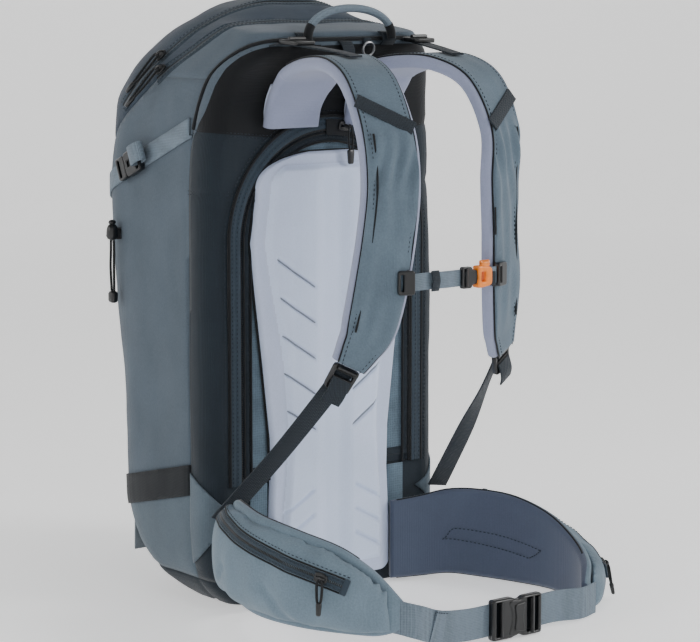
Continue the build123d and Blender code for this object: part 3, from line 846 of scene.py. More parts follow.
def path_of(verts, step=4.0, rounds=2):
    """Points and normals of an ordered run of vertices, smoothed and evenly spaced."""
    rows = np.array([list(v.co) + list(v.normal) for v in verts])
    rows = resample(smooth(rows, rounds), step)
    return rows[:, :3], unit(rows[:, 3:6])


def build_shell():
    """Cuts the skin into its cloth panels and returns the seam paths."""
    bm = body_mesh()
    lines = {}
    lines["lid"] = cut(bm, LID_FIELD)
    lines["strip"] = cut(bm, lambda p: p.y - strip_edge(p.z))
    lines["base"] = cut(bm, lambda p: p.z - BASE_HEIGHT)
    for side in (-1, 1):
        lines[f"front{side}"] = cut(bm, lambda p, s=side: s * p.x - FRONT_SEAM_X,
                                    lambda p: p.y > 100 and LID_FIELD(p) < 2 and p.z > BASE_HEIGHT - 1)
    lines["pocket"] = cut(bm, POCKET_FIELD, lambda p: p.y < 160 and LID_FIELD(p) > -1)
    lines["door"] = cut(bm, door_field, lambda p: p.y < 5 and p.z < 475)
    lines["low_seam"] = cut(bm, lambda p: p.z - 398, lambda p: p.y < 36)
    cut(bm, lambda p: p.y - rim_edge(p.z), lambda p: 440 < p.z < 541)
    lines["patch"] = cut(bm, PATCH_FIELD, lambda p: p.y > 33 and p.z > BASE_HEIGHT)
    cut(bm, lambda p: p.z - 505, lambda p: p.y > strip_edge(p.z) - 1)
    lines["high_seam"] = cut(bm, high_seam, lambda p: p.y < 33)
    seams = [v for key in ("lid", "strip", "base", "front-1", "front1", "pocket", "low_seam", "high_seam")
             for v in lines[key]]
    wrinkle(bm, seams)
    paths = {key: path_of(chain(line)) for key, line in lines.items() if key not in ("lid", "strip", "base")}
    paths["main_zip"] = path_of(chain({v for v in lines["lid"] if v.co.y < 100}))
    paths["hinge"] = path_of(chain({v for v in lines["lid"] if v.co.y > 98}))
    paths["strip"] = path_of(chain({v for v in lines["strip"] if v.co.z > BASE_HEIGHT + 2}))
    paths["pocket"] = path_of(chain({v for v in lines["pocket"] if v.co.z > 470}))
    return bm, paths


def lid_part(c):
    return LID_FIELD(c) > 0


def back_part(c):
    return c.z > BASE_HEIGHT and c.y < strip_edge(c.z) and not lid_part(c)


def front_part(c):
    return abs(c.x) < FRONT_SEAM_X and c.y > 100 and c.z > BASE_HEIGHT and not lid_part(c)


def side_part(sign):
    def test(c):
        inside = abs(c.x) < FRONT_SEAM_X and (c.y > 100 or c.y < 60)
        hood = c.z > 505 or abs(c.x) < 60
        return (c.x * sign > 0 and c.z > BASE_HEIGHT and not lid_part(c) and not back_part(c)
                and not front_part(c) and not (hood and inside) and not (c.z > 505))
    return test


def hood_part(c):
    return (c.z > BASE_HEIGHT and not lid_part(c) and not back_part(c) and not front_part(c)
            and not side_part(1)(c) and not side_part(-1)(c))


PATCH_FIELD = plane_field((35, 106), (185, 70))


def low_patch(c):
    """The lighter reinforced cloth below the ski straps."""
    return 1 if PATCH_FIELD(c) < 0 else 0


def shell_pieces(bm):
    """The cloth panels of the bag."""
    region_piece(bm, lambda c: c.z < BASE_HEIGHT, "base_cloth", [DARK, LINING], "pack",
                 ["base_panel"])
    region_piece(bm, front_part, "front_cloth", [SHELL, LOW_FRONT, LINING], "pack",
                 ["front_panel"], rule=low_patch, inside=2)
    for sign, side in SIDES:
        region_piece(bm, side_part(sign), f"side_cloth_{side}", [SHELL, LOW_FRONT, LINING], "pack",
                     [f"side_panel_{side}"], rule=low_patch, inside=2)
    region_piece(bm, hood_part, "hood_cloth", [SHELL, LINING], "pack", ["top_hood"])
    region_piece(bm, lid_part, "lid_cloth", [HOOD, LINING], "lid", ["lid_cap"])

    def outside_door(c):
        return back_part(c) and not (c.y < 5 and c.z < 475 and door_field(c) < 0)

    # Faces above the high seam take the near-black recess colour, which is painted shade.
    def shade(c):
        if c.y > rim_edge(c.z) and c.z > 442:
            return 2
        return 1 if high_seam(c) > 0 else 0

    region_piece(bm, outside_door, "back_strips", [DARK, RECESS_SHADE, SHELL], "pack",
                 ["back_surround"], rule=shade, inside=0)


def skin_band(bm, low_field, high_field, keep, name, mats, nodes, offset, thickness):
    """A band of cloth or webbing sewn round the side of the bag between two fields."""
    copy = bm.copy()
    cut(copy, low_field)
    cut(copy, high_field)
    obj = region_piece(copy, lambda c: low_field(c) > 0 > high_field(c) and keep(c), name, mats, "pack",
                       nodes, thickness=thickness, offset=offset, inside=0)
    copy.free()
    return obj


# ---- seams, piping and zips on the shell ----
def outward(points, ups, distance):
    return np.asarray(points) + unit(ups) * distance


def shell_trim(paths):
    trim = Form()
    points, ups = paths["strip"]
    trim.tube(outward(points, ups, 0.6), 2.0, 0)
    for key in ("front-1", "front1"):
        points, ups = paths[key]
        trim.tube(outward(points, ups, 0.1), 1.2, 0)
        trim.seam(points, ups, 4.0, 1)
        trim.seam(points, ups, -4.0, 1)
    for key in ("low_seam", "high_seam"):
        points, ups = paths[key]
        trim.seam(points, ups, 1.6, 1)
        trim.seam(points, ups, -1.6, 1)
    points, ups = paths["strip"]
    trim.seam(points, ups, 5.0, 1)
    trim.seam(points, ups, -5.0, 1)
    trim.piece("shell_piping", [BINDING, THREAD], "pack", "dark_fabric")

    points, ups = paths["main_zip"]
    zipper = Form()
    zipper.zip(outward(points, ups, 0.6), ups, 5.0)
    for side in (-1, 1):
        zipper.tube(edge_line(points, ups, side * 7.4, 1.0), 1.0, 0)
    zipper.piece("main_zip", [TAPE, COIL, THREAD], ("pack", "lid", (0, -30, 560), (0, 110, 505)), "zip_coil",
                 ["shell_zip_tapes"])

    points, ups = paths["pocket"]
    zipper = Form()
    zipper.zip(outward(points, ups, 0.6), ups, 5.0)
    zipper.tube(edge_line(points, ups, 7.4, 1.0), 1.0, 0)
    zipper.piece("front_pocket_zip", [TAPE, COIL, THREAD], "lid", "zip_coil", ["lid_zip_tapes"])

    points, ups = paths["hinge"]
    hinge = Form()
    hinge.tube(outward(points, ups, 0.2), 1.5, 0)
    hinge.seam(points, ups, 4.0, 1)
    hinge.piece("lid_hinge_seam", [BINDING, THREAD], "pack", "dark_fabric")


def edge_line(points, ups, offset, lift):
    """A line on the surface beside a path."""
    side = unit(np.cross(tangents(points), unit(ups)))
    return points + side * offset + unit(ups) * lift


def side_bands(bm):
    """Ski straps and compression straps."""
    ski_low = plane_field((35, 107), (185, 71))
    ski_high = plane_field((35, 137), (185, 101))
    skin_band(bm, ski_low, ski_high, lambda c: abs(c.x) > 96 and c.y > 34, "ski_straps", [SKI_CLOTH],
              ["ski_bands"], 2.2, 1.8)
    squeeze_low = plane_field((35, 448), (135, 405))
    squeeze_high = plane_field((35, 468), (135, 425))
    skin_band(bm, squeeze_low, squeeze_high, lambda c: abs(c.x) > 104 and c.y > 33 and c.z > 345,
              "compression_webbing", [WEB], ["compression_straps"], 2.2, 1.8)


def anchor_wings(bm):
    """Triangular tabs round the lower back corners that hold the strap webbing."""
    def out_from(p):
        return max(0.0, abs(p[0]) - 113) + 0.8 * max(0.0, p[1])

    skin_band(bm, lambda p: p[2] - 92 + 1.05 * out_from(p), lambda p: p[2] - 92 - 0.72 * out_from(p),
              lambda c: abs(c.x) > 113 and c.y < 34, "anchor_wings", [LOW_FRONT],
              ["anchor_wings"], 1.9, 1.5)


# ---- door and pads ----
def door_half(z):
    """Half width of the door at a height."""
    if z <= DOOR_ARCH_Z:
        return DOOR_HALF
    return max(0.0, DOOR_HALF ** 2 - (z - DOOR_ARCH_Z) ** 2) ** 0.5


def door_path(inset, lift):
    """The door's U line, drawn in by inset, on the back's plane."""
    half = DOOR_HALF - inset
    rows = [(-half, -lift, z) for z in np.linspace(DOOR_BOTTOM, DOOR_ARCH_Z, 40, endpoint=False)]
    for a in np.linspace(180, 0, 60):
        rows.append((half * cos(radians(a)), -lift, DOOR_ARCH_Z + half * sin(radians(a))))
    rows += [(half, -lift, z) for z in np.linspace(DOOR_ARCH_Z, DOOR_BOTTOM, 40)[1:]]
    return np.array(rows)


def sheet_faces(rows, columns):
    """Faces of a closed sheet whose front and rear are two grids of points, one after the other."""
    count = rows * columns
    faces = []
    for i in range(rows - 1):
        for k in range(columns - 1):
            a = i * columns + k
            faces.append((a, a + 1, a + columns + 1, a + columns))
            faces.append((count + a, count + a + columns, count + a + columns + 1, count + a + 1))
    rim = list(range(columns)) + [i * columns + columns - 1 for i in range(1, rows)]
    rim += [(rows - 1) * columns + k for k in range(columns - 2, -1, -1)]
    rim += [i * columns for i in range(rows - 2, 0, -1)]
    for a, b in zip(rim, rim[1:] + rim[:1]):
        faces.append((a, count + a, count + b, b))
    return faces


def off_back(rows):
    """For each row a normal pointing straight out of the back of the bag."""
    return np.repeat([[0, -1.0, 0]], len(rows), 0)


def height_field(name, outline, low, high, depth, mats, body, slot, nodes, rule=None, columns=80, rows=180,
                 back=0.0):
    """A padded panel on the back: outline(z) is its half width and depth(x, z) how far it stands out."""
    zs = low + (high - low) * (1 - np.cos(np.linspace(0, pi, rows))) / 2
    us = np.sin(np.linspace(-pi / 2, pi / 2, columns))
    front, rear = [], []
    for z in zs:
        half = outline(z)
        for u in us:
            x = u * half
            front.append((x, back - depth(x, z), z))
            rear.append((x, back, z))
    faces = sheet_faces(rows, columns)
    form = Form()
    form.add(front + rear, faces)
    if rule is not None:
        points = np.array(front + rear)
        form.mats = [rule(*points[list(f)].mean(axis=0)) for f in faces]
    return form.piece(name, mats, body, slot, nodes, sharp=60)


def pad_half(z):
    """Half width of the hourglass back pad."""
    if z < 398:
        return float(np.interp(z, [118, 160, 230, 310, 350, 398], [71, 72, 80, 90, 94, 87]))
    rise = min(1.0, (z - 398) / 37.0)
    return 87 * max(0.0, 1 - rise ** 2.6) ** 0.5 + 0.5


SLITS = [(335 - 37 * k, 70 - 3.5 * k, 21) for k in range(5)]


def slit_depth(x, z, rows, fall=0.66, width=1.5, depth=3.4):
    """Depth of the diagonal cuts: each falls from its outer end towards the middle."""
    total = 0.0
    for top, outer, inner in rows:
        along = outer - abs(x)
        if -2 < along < outer - inner + 2:
            off = (z - (top - fall * along)) * 0.83
            ends = steady(-1, 4, along) * steady(-1, 4, outer - inner - along)
            total += depth * np.exp(-(off / width) ** 2) * ends
    return float(total)


def rim_rise(gap, height, reach=5.0):
    """Height of a padded edge that rises over reach from the rim."""
    t = np.clip(gap / reach, 0, 1)
    return float(height * (1 - (1 - t) ** 2.2) ** 0.5)


def pad_gap(x, z):
    return max(0.0, min(pad_half(z) - abs(x), (434.5 - z) * 1.2))


def back_pad_depth(x, z):
    gap = pad_gap(x, z)
    height = rim_rise(gap, 7.0)
    height += 5.5 * steady(14, 24, gap + 4 * sin(z / 47.0))
    channel = steady(24, 7, abs(x)) if z < 405 else steady(24, 7, abs(x)) * steady(428, 405, z)
    height -= 5.0 * float(channel) * steady(14, 24, gap)
    height -= 1.2 * np.exp(-((abs(x) - 47) / 5.0) ** 2) * steady(170, 240, z) * steady(400, 340, z)
    return max(0.3, float(height) - slit_depth(x, z, SLITS))


def lumbar_half(z):
    return float(np.interp(z, [11, 60, 119], [74, 74, 71])) - 12 * max(0.0, 1 - (z - 11) / 10.0) ** 2


def lumbar_depth(x, z):
    gap = max(0.0, min(lumbar_half(z) - abs(x), z - 11.5))
    height = rim_rise(gap, 7.0)
    height += 5.5 * steady(14, 24, gap + 4 * sin(z / 47.0))
    height -= 5.0 * float(steady(24, 7, abs(x))) * steady(20, 40, z)
    total = 0.0
    for top in (58, 82, 106):
        along = abs(x) - 24
        if -2 < along < 40:
            off = (z - (top - 0.55 * along)) * 0.85
            total += 3.0 * np.exp(-(off / 1.5) ** 2) * steady(-1, 4, along) * steady(-1, 4, 37 - along)
    return max(0.3, float(height) - total)


def door_depth(x, z):
    gap = max(0.0, -door_field(Vector((x, 0, z))))
    tape = 1.8 * steady(7.0, 9.0, gap) * steady(17, 13, gap)
    return 0.9 + float(tape) + 0.5 * noise.noise(Vector((x / 30, 0, z / 45)))


def door_pieces():
    """Door cloth, mesh strips, zip, back pad and what hangs on the door."""
    height_field("door_cloth", lambda z: max(0.6, door_half(z) - 0.8) if z > DOOR_ARCH_Z else DOOR_HALF - 0.8,
                 DOOR_BOTTOM + 0.8, DOOR_ARCH_Z + DOOR_HALF - 1.5, door_depth, [DARK, NET, BINDING],
                 "door", "mesh_fabric", ["door_panel"], back=1.2,
                 rule=lambda x, y, z: 0 if -door_field(Vector((x, 0, z))) < 15 else 1)
    zipper = Form()
    path = door_path(4.0, 1.5)
    ups = off_back(path)
    side_line = unit(np.cross(tangents(path), ups))
    zipper.ribbon(path + side_line * -3.8, ups, 6.4, 1.4, 0, 0.6)
    zipper.seam(path + side_line * -5.0, ups, 0, 2, lift=1.4)
    fine = resample(path, 1.7)
    fine_ups = off_back(fine)
    zipper.grains(fine + fine_ups * 0.6, unit(np.cross(tangents(fine), fine_ups)), 3.6, 0.62, 1)
    zipper.tube(door_path(7.4, 2.4), 0.9, 3)
    zipper.seam(door_path(11.0, 3.0), ups, 0, 2)
    zipper.tube(door_path(15.2, 2.2), 1.2, 3)
    garage = resample([(DOOR_HALF * cos(a) * 0.96, -4.2, DOOR_ARCH_Z + DOOR_HALF * sin(a) * 0.985)
                       for a in np.radians(np.linspace(77, 92, 12))], 1.5)
    zipper.ribbon(garage, off_back(garage), 15, 1.6, 3)
    zipper.piece("door_zip", [TAPE, COIL, THREAD, BINDING], "door", "zip_coil", ["door_zip_tape"])
    outer = Form()
    path = door_path(-4.8, 1.2)
    outer.ribbon(path, ups, 6.0, 1.4, 0, 0.6)
    outer.seam(door_path(-6.2, 1.4), ups, 0, 1, lift=1.2)
    outer.tube(door_path(-9.0, 1.4), 1.6, 2)
    outer.seam(door_path(-14.0, 1.0), ups, 0, 1)
    outer.piece("door_zip_surround", [TAPE, THREAD, BINDING], "pack", "zip_coil")
    # The rim band of the pad takes the darker pad colour, which is painted shade.
    obj = height_field("back_pad_cloth", pad_half, PAD_SPLIT, 434.0, back_pad_depth, [PAD, PAD_RIM_SHADE],
                       "door", "pad_foam", ["back_pad"], back=-0.6, columns=170, rows=330,
                       rule=lambda x, y, z: 1 if pad_gap(x, z) + 4 * sin(z / 47.0) < 17 else 0)
    # Dark tubes sunk in the slits of the back pad: painted shade.
    cuts = Form()
    for top, outer, inner in SLITS:
        for sign in (-1, 1):
            ends = [(sign * (outer - a), top - 0.66 * a) for a in np.linspace(1, outer - inner - 1, 12)]
            cuts.tube([(x, 1.6 - back_pad_depth(x, z) - slit_depth(x, z, SLITS), z) for x, z in ends],
                      0.75, 0)
    cuts.piece("back_pad_slit_shade", [SLIT_SHADE], "door", "pad_foam")
    for sign, side in SIDES:
        strip = Form()
        line = np.array([(sign * 84, -1.2, z) for z in np.linspace(30, DOOR_BOTTOM - 1, 30)])
        strip.ribbon(line, off_back(line), 20, 1.4, 0)
        strip.piece(f"lumbar_side_cloth_{side}", [NET], "pack", "dark_fabric")
    edge = Form()
    rows = [(pad_half(z) + 0.3, -1.6, z) for z in np.linspace(PAD_SPLIT + 1, 398, 50)]
    rows += [(pad_half(z) + 0.3, -1.6, z) for z in 398 + 36 * np.sin(np.linspace(0.05, pi / 2, 24))]
    rows += [(-x, y, z) for x, y, z in reversed(rows)]
    rows = smooth(rows, 2)
    edge.tube(rows, 1.4, 0)
    far = unit(np.cross(tangents(rows), off_back(rows)))
    edge.seam(rows - far * 4.0, off_back(rows), 0, 1, lift=0.6)
    edge.piece("back_pad_binding", [BINDING, PALE_THREAD], "door", "pad_foam")


def back_pads():
    # The rim band takes the darker pad colour: painted shade.
    def shade(x, y, z):
        return 1 if min(lumbar_half(z) - abs(x), z - 11.5) + 4 * sin(z / 47.0) < 17 else 0

    obj = height_field("lumbar_pad_cloth", lumbar_half, 11.0, PAD_SPLIT, lumbar_depth, [PAD, PAD_RIM_SHADE], "pack",
                       "pad_foam", ["lumbar_pad"], back=-0.6, columns=150, rows=150, rule=shade)


# ---- inside ----
def panel_sheet(name, x_range, z_range, y, mats, slot, nodes, sag=1.5, thickness=1.6, seed=0.0):
    """A cloth panel across the inside of the bag with a bound top edge."""
    form = Form()
    xs = np.linspace(*x_range, 30)
    zs = np.linspace(*z_range, 40)
    verts = []
    for z in zs:
        for x in xs:
            fold = noise.noise(Vector((x / 40, seed, z / 60))) * sag
            verts.append((x, y + fold, z))
    back = [(vx, vy + thickness, vz) for vx, vy, vz in verts]
    form.add(verts + back, sheet_faces(len(zs), len(xs)))
    top = np.array(verts[-len(xs):]) + (0, thickness / 2, 0)
    form.tube(top, 2.0, 1)
    form.piece(name, mats, "pack", slot, nodes)


def inside_pieces():
    panel_sheet("divider_cloth", (-128, 128), (32, 440), 148.5, [LINING, BINDING], "lining", ["divider_wall"])
    panel_sheet("hydration_pocket", (-94, 94), (121, 398), 12.0, [LINING, BINDING], "lining",
                ["hydration_sleeve"], seed=4.0)
    panel_sheet("tool_pocket_left", (12, 79), (56, 304), 152.5, [NET, BINDING], "lining", ["tool_sleeves"],
                sag=0.8, seed=8.0)
    panel_sheet("tool_pocket_right", (-79, -12), (56, 304), 152.5, [NET, BINDING], "lining", [],
                sag=0.8, seed=9.0)


# ---- shoulder straps ----
def strap_frame(step=3.0):
    """Points, across, face directions and widths along the left strap."""
    rows = spline([(*p, w, yaw) for p, w, yaw in STRAP_ROUTE], step)
    points, widths, yaws = rows[:, :3], rows[:, 3], np.radians(rows[:, 4])
    along = tangents(points)
    across = np.stack([np.cos(yaws), np.sin(yaws), 0 * yaws], axis=1)
    across = unit(across - along * (across * along).sum(axis=1, keepdims=True))
    faces = np.cross(along, across)
    return points, across, faces, widths


def mirror_x(rows, sign):
    return np.asarray(rows, float) * (sign, 1, 1)


def foam_profile(width, thickness, corners=5):
    """A padded strap: flat on the outer face (up), crowned on the inner face, round edges."""
    outline = rounded(width, thickness, thickness * 0.46, corners)
    crown = np.where(outline[:, 1] < 0, 1.2 * (1 - (2 * outline[:, 0] / width) ** 2), 0)
    outline[:, 1] -= crown
    return outline


def subdivided(profile, extra=6):
    """An outline with its two long sides divided, so that they can carry wrinkles."""
    rows = []
    count = len(profile)
    for i in range(count):
        a, b = profile[i], profile[(i + 1) % count]
        parts = extra if np.linalg.norm(b - a) > 12 else 1
        for t in np.linspace(0, 1, parts, endpoint=False):
            rows.append(a + (b - a) * t)
    return np.array(rows)


def straps():
    points, across, faces, widths = strap_frame()
    share = np.linspace(0, 1, len(points))
    for sign, side in SIDES:
        body = ("pack", f"strap_{side}", (sign * 42, -16, 486), (sign * 58, -106, 520))
        foam = Form()
        profiles = [subdivided(foam_profile(w, STRAP_THICKNESS - 1 - 2.5 * steady(0.9, 1, s)), 8)
                    for w, s in zip(widths, share)]
        foam.sweep(mirror_x(points, sign), mirror_x(across, sign), mirror_x(faces, sign), profiles)
        obj = foam.piece(f"strap_foam_{side}", [FOAM], body, "strap_foam", [f"strap_pad_{side}"], sharp=0)
        strap_cover(sign, side, body, points, across, faces, widths, share)


def strap_cover(sign, side, body, points, across, faces, widths, share):
    """Outer cloth of a strap: smooth top panel, ribbed band and a gathered stretch pocket below."""
    keep = share > 0.155
    pts, acr, fac, wid, shr = points[keep], across[keep], faces[keep], widths[keep], share[keep]
    lift = (STRAP_THICKNESS - 1) / 2 + 0.7
    band_at = 0.485
    form = Form()
    profiles = []
    for w, s in zip(wid, shr):
        outline = subdivided(rounded(w - 9, 1.8, 0.8, 2), 26)
        top = outline[:, 1] > 0
        u = outline[:, 0] / (w / 2)
        below = steady(band_at - 0.01, band_at + 0.08, s) * steady(0.97, 0.86, s)
        gather = np.sin(u * 12 + 2.5 * sin(s * 27)) * np.exp(-((s - band_at - 0.06) / 0.09) ** 2)
        loose = np.array([noise.noise(Vector((ui * 2.2, s * 9 + sign, 4.2))) for ui in u])
        puff = below * (3.2 * (1 - u ** 4) + 2.4 * loose + 1.9 * gather) + 0.6 * loose
        outline[:, 1] += np.where(top, np.maximum(puff, -0.5), 0)
        profiles.append(outline)
    form.sweep(mirror_x(pts, sign) + mirror_x(fac, sign) * lift, mirror_x(acr, sign), mirror_x(fac, sign),
               profiles)
    for edge in (-1, 1):
        line = pts + acr * edge * (wid[:, None] / 2 - 4.5) + fac * (lift - 0.2)
        form.tube(mirror_x(line, sign), 0.95, 1)
        inner = pts + acr * edge * (wid[:, None] / 2 - 8.2) + fac * (lift + 0.7)
        form.seam(mirror_x(inner, sign), mirror_x(fac, sign), 0, 2)
    fold = pts + acr * (wid[:, None] * 0.28) + fac * (lift + 3.4)
    lower = (shr > band_at + 0.03) & (shr < 0.93)
    form.tube(mirror_x(fold[lower], sign), 1.0, 1)
    form.seam(mirror_x(fold[lower], sign), mirror_x(fac[lower], sign), 3.0, 2, lift=-0.2)
    form.piece(f"strap_cloth_{side}", [COVER, BINDING, THREAD], body, "strap_cover", [f"strap_cover_{side}"],
               sharp=0)
    band = Form()
    here = np.argmin(np.abs(shr - band_at))
    slant = -0.30
    centre, a, f, w = pts[here], acr[here], fac[here], wid[here]
    t = tangents(pts)[here]
    line = np.array([centre + a * u * (w / 2 - 4.5) + t * (u * slant * w) + f * (lift + 1.4)
                     for u in np.linspace(-1, 1, 46)])
    ups = np.repeat(f[None], len(line), 0)
    band.ribbon(mirror_x(line, sign), mirror_x(ups, sign), 13, 1.6, 0, 0.4, ribs=0.35)
    if sign > 0:
        at = np.argmin(np.abs(shr - 0.70))
        centre = pts[at] - acr[at] * (wid[at] * 0.36) + fac[at] * (lift + 2.2)
        band.box(centre, (acr[at], tangents(pts)[at], fac[at]), (10, 26, 1.2), 0.5, 1)
    band.piece(f"strap_band_{side}", [DARK_WEB, BINDING], body, "dark_webbing")


def yokes():
    """Padded roots of the shoulder straps, sewn to the top of the back."""
    for sign, side in SIDES:
        form = Form()
        rows = spline([(48, -4, 462, 64), (48, -5, 470, 64), (48, -9, 484, 65), (47, -17, 498, 67)], 3.0)
        pts, wid = rows[:, :3], rows[:, 3]
        along = tangents(pts)
        across = np.repeat([[1.0, 0, 0]], len(pts), 0)
        faces = np.cross(along, across)
        profiles = []
        for i, w in enumerate(wid):
            end = 0.45 + 0.55 * float(steady(0, 4, i))
            profiles.append(subdivided(foam_profile(w - 4 - 3 * (1 - end), 8 * end), 8))
        form.sweep(mirror_x(pts, sign), mirror_x(across, sign), mirror_x(faces, sign), profiles)
        # The yoke pads take the darker pad colour, which is painted shade.
        obj = form.piece(f"yoke_pad_{side}", [PAD_RIM_SHADE], "pack", "pad_foam",
                         ["yoke_pads"] if sign > 0 else [], sharp=0)


def ribbon_line(points, ups, step=1.0):
    rows = spline(np.hstack([np.asarray(points, float), np.asarray(ups, float)]), step)
    return rows[:, :3], unit(rows[:, 3:6])


def strap_hardware():
    """Load lifters, ladder locks and the webbing down to the pack."""
    for sign, side in SIDES:
        form = Form()
        pts, ups = ribbon_line([(86, -14, 536), (76, -35, 538), (69, -66, 535.5), (62, -100, 531.5),
                                (60, -122, 528)],
                               [(0.2, -0.25, 1), (0.1, -0.1, 1), (0, -0.05, 1), (0, -0.1, 1), (0, -0.2, 1)])
        form.ribbon(mirror_x(pts, sign), mirror_x(ups, sign), 15, 1.5, 0, ribs=0.15)
        form.piece(f"lifter_webbing_{side}", [DARK_WEB],
                   ("pack", f"strap_{side}", (sign * 74, -40, 538), (sign * 60, -104, 530)), "dark_webbing",
                   [f"load_lifter_{side}"])
        buckle = Form()
        centre = np.array([sign * 73, -50, 539.5])
        axes = ((1, 0, 0), (-0.1 * sign, -1, -0.05), (0, -0.05, 1))
        window = [rectangle(24, 26, 4), rectangle(16, 4, 1, (0, 6)), rectangle(16, 4, 1, (0, -6))]
        plate(buckle, window, centre, axes[0], axes[1], 4.4, 0, 1.0)
        buckle.tube([centre + (-9, 0, 3), centre + (9, 0, 3)], 2.2, 0)
        buckle.piece(f"lifter_buckle_{side}", [BLACK], ("pack", f"strap_{side}", (sign * 74, -40, 538),
                                                        (sign * 60, -104, 530)), "black_plastic")
        ladder_lock(sign, side)
        lower_webbing(sign, side)


def lock_axes(sign):
    down = unit(np.array([0.348, 0.348, -0.870]) * (sign, 1, 1))
    across = unit(np.array(LOCK_ACROSS) * (sign, 1, 1))
    face = unit(np.cross(down, across)) * (1 if sign > 0 else -1)
    return down, across, face


def ladder_lock(sign, side):
    down, across, face = lock_axes(sign)
    form = Form()
    middle = np.array(LOCK_TOP) * (sign, 1, 1) + down * 12
    outline = corner_round([(-13.5, -12), (13.5, -12), (12.5, 11), (8, 13.5), (-8, 13.5), (-12.5, 11)], 3.5)
    windows = [outline, rectangle(19, 5.2, 1, (0, 5.5)), rectangle(19, 4.6, 1, (0, -3.2))]
    plate(form, windows, middle, across, down, 5.0, 0, 1.1)
    for drop, half, rise, radius in ((-9, 10, 2.4, 2.3), (1.3, 9.5, 2.6, 1.7)):
        bar = middle + down * drop + face * rise
        form.tube([bar - across * half, bar + across * half], radius, 0)
    form.piece(f"strap_lock_{side}", [BLACK], f"lock_{side}", "black_plastic", [f"ladder_lock_{side}"])


def lower_webbing(sign, side):
    """Webbing from the lock to the anchor, with a short loose tail."""
    down, across, face = lock_axes(sign)
    lock = np.array(LOCK_TOP) * (sign, 1, 1)
    start = lock + down * 12 - face * 3.6
    anchor = np.array(ANCHOR) * (sign, 1, 1)
    path = [lock + down * 6 - face * 3.0, start, start + (anchor - start) * 0.2 + (0, 1.5, -4),
            start + (anchor - start) * 0.5 + (0, 2, -6), start + (anchor - start) * 0.8 + (0, 1, -3), anchor]
    side_ways = np.array([across, across, across * 0.8 + np.array([sign, 0.1, 0.1]) * 0.2,
                          [sign * 1.0, -0.35 * sign, 0.2], [sign * 1.0, -0.5 * sign, 0.1],
                          [sign * 1.0, -0.5 * sign, 0]])
    rows = spline(np.hstack([np.array(path), side_ways]), 1.0)
    points, sides = rows[:, :3], unit(rows[:, 3:6])
    ups = unit(np.cross(sides, tangents(points))) * sign
    form = Form()
    form.ribbon(points, ups, 19.5, 1.6, 0, ribs=0.16)
    tail = spline([lock + down * drop + face * rise for drop, rise in ((12, 3.2), (26, 6), (36, 4.5))], 1.0)
    form.ribbon(tail, np.repeat([face], len(tail), 0), 19.5, 1.6, 0, ribs=0.16)
    form.piece(f"lower_webbing_{side}", [DARK_WEB], f"strap_{side}", "dark_webbing",
               [f"strap_webbing_{side}"])


# ---- sternum strap ----
def chest_frame():
    yaw = radians(22)
    across = np.array([cos(yaw), sin(yaw), 0])
    face = np.array([sin(yaw), -cos(yaw), 0])
    middle = np.array([72.0, -170.0, CHEST_Z]) - across * 22 + face * 13
    return middle, across, face


def sternum():
    middle, across, face = chest_frame()
    chest_y = middle[1] - 1.0
    for sign, side in SIDES:
        form = Form()
        flip = (sign, 1, 1)
        outline = corner_round([(-8, -11), (8, -11), (8, 11), (-8, 11)], 3)
        plate(form, [outline, rectangle(3, 15, 1, (-4 * sign, 0))], middle * flip, across * flip, (0, 0, 1),
              5.0, 0, 1.1)
        form.box(middle * flip - face * flip * 5.5, (across * flip, (0, 0, 1), face * flip), (9, 24, 5), 1.4)
        form.piece(f"chest_clip_{side}", [BLACK], f"sternum_{side}", "black_plastic",
                   [f"sternum_clip_{side}"])
    start, end = -(middle[0] - 5), 13.0
    xs = np.arange(start, end, 0.8)
    form = Form()
    wave = [0.9 * sin(x / 7.0) * steady(start, start + 20, x) * steady(end, end - 14, x) for x in xs]
    line = np.array([(x, chest_y + w, CHEST_Z) for x, w in zip(xs, wave)])
    form.ribbon(line, off_back(line), 15.5, 1.5, 0, ribs=0.22)
    loop = [(start + 26, chest_y - 1, CHEST_Z - 9), (start + 26, chest_y - 3.2, CHEST_Z),
            (start + 26, chest_y - 1, CHEST_Z + 9)]
    loop = spline(loop, 1.0)
    form.ribbon(loop, off_back(loop), 9, 1.2, 1, 1.2)
    form.piece("chest_webbing", [WEB, DARK_WEB], "sternum_right", "webbing", ["sternum_webbing"])
    sternum_buckles(middle, chest_y)


